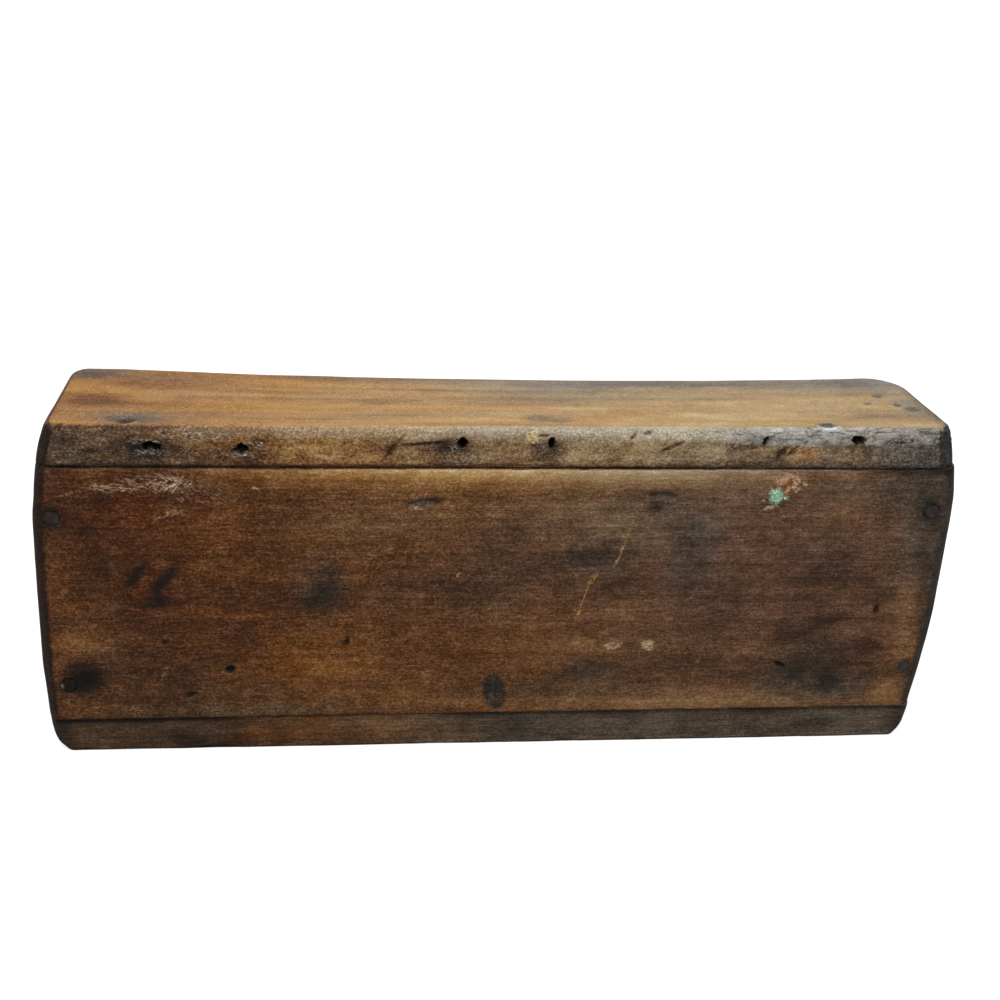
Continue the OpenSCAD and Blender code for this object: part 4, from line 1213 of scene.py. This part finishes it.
# Painted shade in the seam under the lid, along the upper right of the face
tone -= 0.25 * outer * step(x, 160, 190) * step(z, hi[2] - 5, hi[2] - 1)
grey = 0.35 * dent_dark + 0.3 * step(knot, 1.1, 0.8) + 0.3 * top_chips + 0.2 * low_chips
grey += 0.07 * step(x, -20, 60) + blots(wander_x, wander_z, GREY_SPOTS) + 0.3 * right * end_grain_and_shade
grey = facing * grey + 0.12 * inner
grey += step(n[:, 2], 0.2, 0.6) * outer * (0.12 + 0.4 * step(x, 40, 140))
red = facing * np.clip(blots(x, z, RED_SPOTS), 0, 1) + 0.4 * end_grain_and_shade * (1 - right)
make_piece(
    "worn_front_panel", front, front_faces, PANEL_PINE, "box", "front_panel",
    {"tone": tone, "grey": np.clip(grey, -0.1, 1), "red": red, "coarse": 0.22 * facing * step(x, 90, -40)},
)

# %% [markdown]
# The bottom board lies a millimetre behind the panels, so it stays in their shadow, and a painted shadow
# along its upper edge deepens that; its lowest edge has a painted contact shadow against the floor. It is
# the dirtiest board, blotched with grey and almost black, and its lower ends are rounded by sliding on
# benches. It is made like the panels, with fewer marks, since little of it is seen.

# %% Bottom board
BASE_TONE, BASE_END_TONE, BASE_INNER_TONE, BASE_RED = 0.415, 0.24, 0.55, -0.3
BASE_TONES = [
    # along, height, half sizes, turn, change of tone
    (-194, 9, 16, 8, 0, -0.04), (-150, 5, 9, 4, 0, -0.1), (-140, 4, 16, 5, 0, -0.14),
    (-115, 14, 20, 4, 0, 0.03), (-80, 9, 40, 6, 0, 0.05), (-80, 15, 44, 4, 0, 0.05),
    (-56, 9, 14, 6, 0, 0.05), (-50, 11, 16, 8, 0, 0.04), (8, 11, 9, 7, 0, -0.12),
    (12, 8, 22, 7, 0, -0.08), (36, 9, 16, 6, 0, 0.05), (150, 8, 40, 6, 0, -0.03),
    (160, 9, 8, 6, 0, -0.07), (184, 12, 10, 6, 0, 0.07),
]
lo, hi = long_box("bottom_board")
base, base_faces = box_shell(board_lines(lo, hi, (260, 44, 20), [], []))
base = ease_edges(base, lo, hi, long_edge_radii(base, lo, hi, (0.9, 1.3, 0.9, 1.3), (0.8, 0.8)))
base = bow_ends(round_corners(base, hi[1], (6.0, 7.5), (8.0, 8.0)), END_RUN)
n = normals(base, base_faces)
x, _, z = base.T
sides = step(np.abs(n[:, 1]), 0.4, 0.8)
at_end = step(np.abs(n[:, 0]), 0.3, 0.7)
inner = step(n[:, 2], 0.5, 0.9)
chips = sides * step(z, 2.8, 0.3) * step(rough(base, (11, 5, 5), 51), 0.15, 0.8)
depth = 0.14 * np.abs(rough(base, (50, 20, 9), 52)) + 0.08 * sides * rough(base, (12, 6, 3), 53)
base -= n * np.clip(depth + 0.9 * chips, 0, None)[:, None]
tone = BASE_TONE + 0.045 * step(x, -120, -20)
tone += 0.03 * rough(base, (40, 20, 5), 54) + 0.035 * rough(base, (12, 8, 8), 55)
# The lowest 1.4 mm of the sides is darker, a painted contact shadow against the floor
tone += sides * (blots(x, z, BASE_TONES) - 0.3 * step(z, 1.4, 0.3))
# Painted shadow under the proud panels, deepest on the left and weaker between there and the middle
shadow_under_panels = 0.2 + 0.25 * step(x, -110, -160) - 0.2 * step(np.abs(x + 78), 60, 40)
tone -= sides * (shadow_under_panels * step(z, hi[2] - 3.5, hi[2] - 0.5) + 0.2 * step(np.abs(x), 200, 208))
tone = blend(tone, BASE_END_TONE + 0.05 * rough(base, (8, 8, 8), 56), at_end)
tone = blend(tone, BASE_INNER_TONE + 0.05 * rough(base, (40, 8, 8), 57), inner)
grey = 0.19 - 0.16 * step(np.abs(x + 105), 40, 20) + 0.08 * rough(base, (22, 10, 8), 58)
grey += 0.04 * step(x, -130, -170) + 0.27 * step(x, -50, 20)
grey = np.clip(grey, 0, 1) * (1 - at_end) * (1 - 0.5 * inner)
make_piece(
    "worn_bottom_board", base, base_faces, BASE_PINE, "box", "bottom_board",
    {"tone": tone, "grey": grey, "red": np.full(len(base), BASE_RED)},
)

# %% [markdown]
# The back panel can't be seen in the photo. It is the front panel's twin with fewer marks: four nail
# pockets, the punched divider nails, the same housings inside, and rust that ran down from the hinges.
# The same helpers shape it, with its face turned the other way.

# %% Back panel
BACK_TONE, BACK_END_TONE = 0.47, 0.25
BACK_NAIL_X = 202.5
BACK_NAILS = [(side * BACK_NAIL_X, height) for side in (-1, 1) for height in (123.7, 39.5)]
BRAD_HEIGHT, BRAD_HOLE_DEEP = 43.5, 2.4

lo, hi = long_box("back_panel")
focus_x = [(s * place, half, 2.4) for place, half in ((BACK_NAIL_X, 5), (DIVIDER_X, 3)) for s in (-1, 1)]
focus_z = [(123.7, 5, 2.2), (40, 6, 2.2)]
back, back_faces = box_shell(board_lines(lo, hi, (230, 10, 92), focus_x, focus_z))
back = ease_edges(back, lo, hi, long_edge_radii(back, lo, hi, (0.4, 0.4, 1.0, 1.2), (0.8, 0.5)))
back = bow_ends(round_corners(back, HALF_DEPTH, (6.0, 7.5), (8.0, 8.0)), END_RUN)
n = normals(back, back_faces)
x, _, z = back.T
facing, inner = step(n[:, 1], 0.4, 0.8), step(-n[:, 1], 0.4, 0.8)
at_end = step(np.abs(n[:, 0]), 0.3, 0.7)
depth = 0.16 * np.abs(rough(back, (70, 30, 22), 61))
depth += 0.06 * facing * np.abs(rough(back, (14, 6, 3), 62))
pocket, dish = nail_pockets(back, BACK_NAILS, [NAIL_HEAD_R] * len(BACK_NAILS), 0.25, 63)
pocket *= facing
brad_hole = facing * step(np.hypot(np.abs(x) - DIVIDER_X, z - BRAD_HEIGHT), 2.3, 1.8)
depth += 0.4 * facing * dish + POCKET_DEEP * pocket + BRAD_HOLE_DEEP * brad_hole + housings(back, n, -1)
back -= n * np.clip(depth, 0, None)[:, None]

under_hinges = sum(step(np.abs(x - hx), HINGE_HALF + 5, HINGE_HALF - 4) for hx in HINGE_X)
rust_runs = under_hinges * step(z, 84, 118) * (0.6 + 0.4 * noise(back, (3, 30, 60), 66))
tone = BACK_TONE + 0.04 * rough(back, (60, 30, 7), 64) + 0.06 * rough(back, (34, 20, 20), 65)
tone += facing * (0.1 * step(z, 128, 145) - 0.14 * rust_runs + 0.1 * step(np.abs(x), 185, 204))
tone -= facing * 0.24 * step(np.abs(x), 204, 212)
tone = blend(tone, BACK_END_TONE + 0.05 * rough(back, (8, 8, 8), 67), at_end)
tone = blend(tone, INNER_TONE + 0.04 * rough(back, (60, 8, 8), 68), inner)
tone -= 0.3 * pocket + 0.5 * brad_hole
red = facing * np.clip(0.2 + 0.5 * rust_runs + 0.2 * rough(back, (70, 40, 40), 69), 0, 1)
make_piece(
    "worn_back_panel", back, back_faces, PANEL_PINE, "box", "back_panel",
    {"tone": tone, "grey": 0.12 * inner, "red": red},
)

# %% [markdown]
# The end boards and the dividers stand upright between the panels, with their grain up and down. The
# outer faces of the end boards follow the same bow as the panels' ends, a hair behind them, so the
# joint shows as a fine dark line. The dividers were never coated: bare pine, mellowed and dusty.

# %% End boards and dividers
BARE_TONE, COATED_TONE, DIVIDER_TONE, DIVIDER_GREY = 0.6, 0.42, 0.66, 0.12


def upright_board(node, counts, r, seed):
    """A short upright board: an eased box over its CAD node, sunk a little by noise along its grain; gives
    its points, faces and outward directions."""
    lo, hi = node_box(node)
    outer = np.abs([lo[0], hi[0]]).max() > HALF_LENGTH - 12
    if outer:
        lo[0], hi[0] = (-HALF_LENGTH, hi[0]) if lo[0] < 0 else (lo[0], HALF_LENGTH)
    focus = [[(a, 2.5, 3), (b, 2.5, 3)] for a, b in zip(lo, hi)]
    p, faces = box_shell([grid_lines(lo[k], hi[k], counts[k], focus[k]) for k in range(3)])
    p = ease_edges(p, lo, hi, r)
    if outer:
        p = bow_ends(p, hi[0] - lo[0])
    n = normals(p, faces)
    sunk = 0.12 * np.abs(rough(p, (18, 18, 60), seed)) + 0.06 * np.abs(rough(p, (3, 3, 14), seed + 3))
    return p - n * sunk[:, None], faces, n


for node, seed in (("left_end_board", 71), ("right_end_board", 81)):
    p, faces, n = upright_board(node, (16, 46, 90), 0.7, seed)
    outward = step(np.abs(n[:, 0]) * np.sign(n[:, 0] * p[:, 0]), 0.4, 0.8)
    bare = BARE_TONE + 0.04 * rough(p, (8, 8, 60), seed + 5)
    coated = COATED_TONE + 0.05 * rough(p, (12, 9, 70), seed + 6) + 0.07 * rough(p, (20, 22, 30), seed + 7)
    coated += 0.12 * np.exp(-(((p[:, 2] - 95) / 34) ** 2)) - 0.1 * step(np.abs(p[:, 1]), 20, 28)
    make_piece(
        "worn_" + node, p, faces, END_PINE, "box", node,
        {"tone": blend(bare, coated, outward), "grey": 0.1 * (1 - outward), "red": 0.25 * outward},
    )
for node, seed in (("left_divider", 91), ("right_divider", 101)):
    p, faces, _ = upright_board(node, (12, 44, 80), 1.6, seed)
    handled = DIVIDER_TONE + 0.05 * rough(p, (8, 8, 60), seed + 5) - 0.12 * step(p[:, 2], 100, 124)
    make_piece(
        "worn_" + node, p, faces, INNER_PINE, "box", node,
        {"tone": handled, "grey": np.full(len(p), DIVIDER_GREY), "red": np.zeros(len(p))},
    )

# %% [markdown]
# Nails and hinges are plain iron, forged or cut from sheet, and rusted for a century. Rust is a dull
# brown crust, not a metal, and the iron under it is nearly black, so two noises decide where each
# shows: patches a few millimetres wide and grit of half a millimetre. Rubbed spots, and painted
# highlights on two nail heads, mix in a pale grey.

# %% Rusted iron
PATCH_MM, GRIT_MM = 4.5, 0.6
# Pale grey of rubbed iron, also used for painted highlights on the nail heads
RUB_AND_GLINT_IRON = "#8a8784"


def rusted_iron(name, dark, rust, rusty, roughness, bare):
    """Old iron: dark metal under patches of dull rust; rusty moves the balance from 0 to 1, bare is how
    metallic the iron between the patches still is."""
    finish = bpy.data.materials.new(name)
    tree = new_tree(finish)
    coords = add(tree, "ShaderNodeTexCoord").outputs["Object"]
    noises = []
    for width in (PATCH_MM, GRIT_MM):
        sized = add(
            tree, "ShaderNodeMapping", {"Vector": coords, "Scale": grain_scale(width, 1, X)}
        ).outputs[0]
        noises.append(
            add(tree, "ShaderNodeTexNoise", {"Vector": sized, "Scale": 1.0, "Detail": 4.0}).outputs["Fac"]
        )
    patches, grit = noises
    mixed = add(tree, "ShaderNodeMath", {0: grit, 1: 0.5, 2: patches}, operation="MULTIPLY_ADD").outputs[0]
    crust = add(
        tree, "ShaderNodeMapRange",
        {"Value": mixed, "From Min": 0.95 - 0.4 * rusty, "From Max": 1.1 - 0.4 * rusty},
    ).outputs[0]
    colour = add(
        tree, "ShaderNodeMix", {0: crust, 6: linear(dark), 7: linear(rust)}, data_type="RGBA"
    ).outputs[2]
    # Rubbed iron and painted highlights turn the colour pale grey
    rubbed = add(tree, "ShaderNodeAttribute", attribute_name="rubbed").outputs["Fac"]
    colour = add(
        tree, "ShaderNodeMix", {0: rubbed, 6: colour, 7: linear(RUB_AND_GLINT_IRON)}, data_type="RGBA"
    ).outputs[2]
    metal = add(tree, "ShaderNodeMapRange", {"Value": crust, "To Min": bare, "To Max": 0.0}).outputs[0]
    dull = add(tree, "ShaderNodeMapRange", {"Value": crust, "To Min": roughness, "To Max": 0.9}).outputs[0]
    bump = add(
        tree, "ShaderNodeBump", {"Height": mixed, "Strength": 0.5, "Distance": BUMP_MM * MM}
    ).outputs[0]
    surface = add(
        tree, "ShaderNodeBsdfPrincipled",
        {
            "Base Color": colour, "Metallic": metal, "Roughness": dull, "Normal": bump,
            "Specular IOR Level": 0.15,
        },
    )
    add(tree, "ShaderNodeOutputMaterial", {"Surface": surface.outputs[0]})
    print(name, len(tree.nodes), "nodes")
    return finish


# Cut nails, hammered in and rusted in the damp wood: a matt brown black
NAIL_IRON = rusted_iron("rusted_nail_iron", "#1a1513", "#2c1f18", 0.55, 0.7, 0.2)
# Sheet iron that kept its mill skin between the rust: dark, with a dull sheen
HINGE_IRON = rusted_iron("rusted_hinge_iron", "#332e2b", "#5a3823", 0.6, 0.48, 0.7)

# %% [markdown]
# A nail is a profile turned round its own axis: head, shank and point. Hammer blows leave no two heads
# alike, so the rim wanders and the face is a little domed and dented. A Screw modifier turns profiles
# too. Here all the nails of a group are one array, nail by ring by step round the axis.

# %% Nail shapes
TURNS = 28


def turned(profile, places, axis, seed, hammered):
    """Surfaces of revolution: each profile point (radius, depth) goes round an axis at each place.
    The rim's radius wanders with the angle, and the head's face is lifted by noise."""
    radius, down = np.array(profile, float).T
    angle = np.linspace(0, 2 * np.pi, TURNS, endpoint=False)
    places, axis = np.array(places, float), np.array(axis, float)
    across = np.cross(axis, [1.0, 0, 0] if abs(axis[0]) < 0.9 else [0, 1.0, 0])
    across /= np.linalg.norm(across)
    up = np.cross(axis, across)
    ring = np.cos(angle)[:, None] * across + np.sin(angle)[:, None] * up
    shape = len(places), len(radius), TURNS
    p = places[:, None, None] + radius[:, None, None] * ring + (down[:, None] * axis)[:, None]
    flat = p.reshape(-1, 3)
    swell = hammered * noise(flat, 2.6, seed).reshape(shape)
    dents = 3.5 * hammered * noise(flat, 1.7, seed + 1).reshape(shape) * (down < 0.2)[:, None]
    p = p + swell[..., None] * radius[:, None, None] * ring + dents[..., None] * axis
    first = np.arange(len(flat)).reshape(shape)
    after = np.roll(first, -1, axis=2)
    quads = np.stack([first[:, :-1], after[:, :-1], after[:, 1:], first[:, 1:]], axis=-1).reshape(-1, 4)
    return p.reshape(-1, 3), quads[:, ::-1]


def nail_profile(head_r, head_t, shank_r, length, crown):
    """Radius and depth along a nail: a crowned face, the head's rounded rim, the shank and the point."""
    s = np.linspace(0, 1, 7)
    face = np.stack([head_r * s, -crown * (1 - s**2)], axis=1)
    rim = [[head_r + 0.05, 0.35 * head_t], [head_r - 0.1, head_t], [shank_r, head_t + 0.1]]
    return np.concatenate([face, rim, [[shank_r, length - 3 * shank_r], [0, length]]])


def close_poles(piece):
    """Merges the points that a profile of zero radius leaves on the axis, so each pole is one point."""
    work = bmesh.new()
    work.from_mesh(piece.data)
    bmesh.ops.remove_doubles(work, verts=work.verts, dist=1e-6)
    bmesh.ops.recalc_face_normals(work, faces=work.faces)
    work.to_mesh(piece.data)
    work.free()


def nail_group(name, node, places, axis, body, sizes, crown, seed, glints=()):
    """Makes one piece from all the nails of a CAD node; glints are rubbed spots and painted highlights on
    the heads.
    """
    p, faces = turned(nail_profile(*sizes, crown), places, axis, seed, 0.07)
    rubbed = blots(p[:, 0], p[:, 2], glints) * (0.75 + 0.5 * noise(p, 1.2, seed + 2))
    close_poles(make_piece(name, p, faces, NAIL_IRON, body, node, {"rubbed": rubbed}))


print("a nail's profile has", len(nail_profile(NAIL_HEAD_R, 1.4, 1.5, 37.4, 0.2)), "points")

# %% [markdown]
# The box is held by nails alone: four through each panel into the end boards, eight up through the
# bottom, and thin brads into the dividers, punched below the surface. The front heads were rubbed by
# hands, and two carry small painted highlights on their rims.

# %% Nails in place
BOX_NAIL = (NAIL_HEAD_R, 1.4, 1.5)
PANEL_NAIL_LONG, BOTTOM_NAIL_LONG, HEAD_SUNK = 37.4, 39.9, 0.6
BRAD, BRAD_SUNK = (1.9, 1.4, 1.2, 25.9), 2.5
FRONT_GLINTS = [
    # along, height, half sizes, turn, how bright; the two small rim spots are painted highlights
    (-207.7, 120.8, 6, 6, 0, 0.1), (-205.2, 119.8, 1.0, 2.2, 0, 0.14), (-208.0, 35.2, 0.8, 1.3, 0, 1.4),
    (206.9, 123.8, 6, 6, 0, 0.16), (204.7, 40.0, 6, 6, 0, 0.2),
]
BOTTOM_NAIL_X, BOTTOM_NAIL_Y = (-142.5, -47.5, 47.5, 142.5), 34.5
front_places = [(nx, -HALF_DEPTH + HEAD_SUNK, nz) for nx, nz in FRONT_NAILS]
back_places = [(nx, HALF_DEPTH - HEAD_SUNK, nz) for nx, nz in BACK_NAILS]
bottom_places = [(nx, side * BOTTOM_NAIL_Y, HEAD_SUNK) for nx in BOTTOM_NAIL_X for side in (-1, 1)]
for name, node, places, axis, length, crown, seed, glints in (
    ("front", "front_panel_nails", front_places, (0, 1, 0), PANEL_NAIL_LONG, 0.15, 111, FRONT_GLINTS),
    ("back", "back_panel_nails", back_places, (0, -1, 0), PANEL_NAIL_LONG, 0.35, 112, ()),
    ("bottom", "bottom_nails", bottom_places, (0, 0, 1), BOTTOM_NAIL_LONG, 0.2, 113, ()),
):
    sizes = (*BOX_NAIL, length)
    nail_group(f"hammered_{name}_nails", node, places, axis, "box", sizes, crown, seed, glints)

# Brads of the dividers, driven from the front and from the back
halves = []
for face in (-1, 1):
    places = [(side * DIVIDER_X, face * (HALF_DEPTH - BRAD_SUNK), BRAD_HEIGHT) for side in (-1, 1)]
    halves.append(turned(nail_profile(*BRAD, 0.2), places, (0, -face, 0), 114, 0.05))
p = np.concatenate([half[0] for half in halves])
faces = np.concatenate([halves[0][1], halves[1][1] + len(halves[0][0])])
close_poles(make_piece("punched_divider_nails", p, faces, NAIL_IRON, "box", "divider_nails"))

# %% [markdown]
# Each hinge leaf is cut from 2 mm sheet and rolled round the pin. A flat strip is a box with eased
# edges, and carrying that box along a path bends it: straight up the plate, then round a circle. So the
# plate and each knuckle come from the same board surface as the wood, with a path in place of an axis.

# %% Hinge leaves
AXIS_Y, AXIS_Z = 44.95, 145.85
LEAF_T, KNUCKLE_R, STAND, HINGE_W, KNUCKLES, KNUCKLE_GAP = 2.0, 3.65, 0.3, 54.0, 5, 0.3
BOX_LEAF_TALL, LID_LEAF_TALL = 24.0, 15.0
NOTCH_R = KNUCKLE_R + KNUCKLE_GAP
ROLL_R = KNUCKLE_R - LEAF_T / 2
PLATE_Y = -KNUCKLE_R - STAND + LEAF_T / 2


def strip(width, start, length, counts, r):
    """A flat strip as an eased box: x across, s along from start, t through its thickness."""
    lo, hi = np.array([-width / 2, start, -LEAF_T / 2]), np.array([width / 2, start + length, LEAF_T / 2])
    lines = [grid_lines(lo[k], hi[k], counts[k], [(lo[k], 1, 3), (hi[k], 1, 3)]) for k in range(3)]
    p, faces = box_shell(lines)
    return ease_edges(p, lo, hi, r), faces


def rolled(p):
    """Carries a strip up its plate and round the pin: below s = 0 it is straight, and above that it turns
    by s / ROLL_R."""
    turn = np.clip(p[:, 1], 0, None) / ROLL_R
    lean = PLATE_Y + (-ROLL_R - PLATE_Y) * step(p[:, 1], -NOTCH_R, 0)
    y = np.where(p[:, 1] < 0, lean - p[:, 2], -(ROLL_R + p[:, 2]) * np.cos(turn))
    z = np.where(p[:, 1] < 0, p[:, 1], (ROLL_R + p[:, 2]) * np.sin(turn))
    return np.stack([p[:, 0], y, z], axis=1)


def hinge_leaf(height, first):
    """One leaf round its pin: a plate below the notch line, and a rolled strip for each of its knuckles."""
    pitch = HINGE_W / KNUCKLES
    plate, plate_faces = strip(HINGE_W, -height, height - NOTCH_R, (54, 22, 4), 0.5)
    points, faces, total = [rolled(plate)], [plate_faces], len(plate)
    around = NOTCH_R + 1 + 1.9 * np.pi * ROLL_R
    for k in range(first, KNUCKLES, 2):
        p, quads = strip(pitch - KNUCKLE_GAP, -NOTCH_R - 1, around, (10, 44, 4), 0.35)
        p[:, 0] += -HINGE_W / 2 + (k + 0.5) * pitch
        points.append(rolled(p))
        faces.append(quads + total)
        total += len(p)
    return np.concatenate(points), np.concatenate(faces)


print("a box leaf has", len(hinge_leaf(BOX_LEAF_TALL, 0)[0]), "points")

# %% [markdown]
# Three hinges hang the lid on the back panel. The box leaf has knuckles 1, 3 and 5 and the lid leaf 2
# and 4, so they interleave on one pin, whose ends are peened so that it can't slip out. The lid's
# leaves and nails ride with the lid, and everything else stays on the box.

# %% Hinges in place
PIN_SHAPE = [
    [0, -1.2], [1.6, -1.1], [2.3, -0.7], [2.5, -0.2], [2.3, 0], [1.6, 0.05],
    [1.6, 53.95], [2.3, 54], [2.5, 54.2], [2.3, 54.7], [1.6, 55.1], [0, 55.2],
]
HINGE_NAIL, HINGE_NAIL_HALF = (3.0, 1.2, 1.2, 11.8), 20.0
LEAF_FACE_Y = HALF_DEPTH + LEAF_T


def place_leaf(side, hinge_x, body, height, first, seed):
    """Puts a leaf on its pin; the lid's leaf is the box's turned upside down, so its faces turn too."""
    p, faces = hinge_leaf(height, first)
    if body == "lid":
        p, faces = p * [1, 1, -1], faces[:, ::-1]
    p = p + [hinge_x, AXIS_Y, AXIS_Z]
    n = normals(p, faces)
    p -= n * (0.08 * np.abs(rough(p, (7, 7, 7), seed)))[:, None]
    node = f"{side}_hinge_{body}_leaf"
    make_piece(f"rolled_{side}_{body}_leaf", p, faces, HINGE_IRON, body, node)


for side, hinge_x in zip(("left", "middle", "right"), HINGE_X):
    place_leaf(side, hinge_x, "box", BOX_LEAF_TALL, 0, 121)
    place_leaf(side, hinge_x, "lid", LID_LEAF_TALL, 1, 131)
    p, faces = turned(PIN_SHAPE, [(hinge_x - HINGE_W / 2, AXIS_Y, AXIS_Z)], (1, 0, 0), 141, 0.0)
    pin = make_piece(f"peened_{side}_pin", p, faces, HINGE_IRON, "box", f"{side}_hinge_pin")
    close_poles(pin)

for group, node, height, body in (
    ("hinge_box_nail_heads", "hinge_box_nails", AXIS_Z - (NOTCH_R + BOX_LEAF_TALL) / 2, "box"),
    ("hinge_lid_nail_heads", "hinge_lid_nails", AXIS_Z + (NOTCH_R + LID_LEAF_TALL) / 2, "lid"),
):
    nail_x = [hx + side * HINGE_NAIL_HALF for hx in HINGE_X for side in (-1, 1)]
    places = [(nx, LEAF_FACE_Y - 0.1, height) for nx in nail_x]
    nail_group(group, node, places, (0, -1, 0), body, HINGE_NAIL, 0.45, 151)
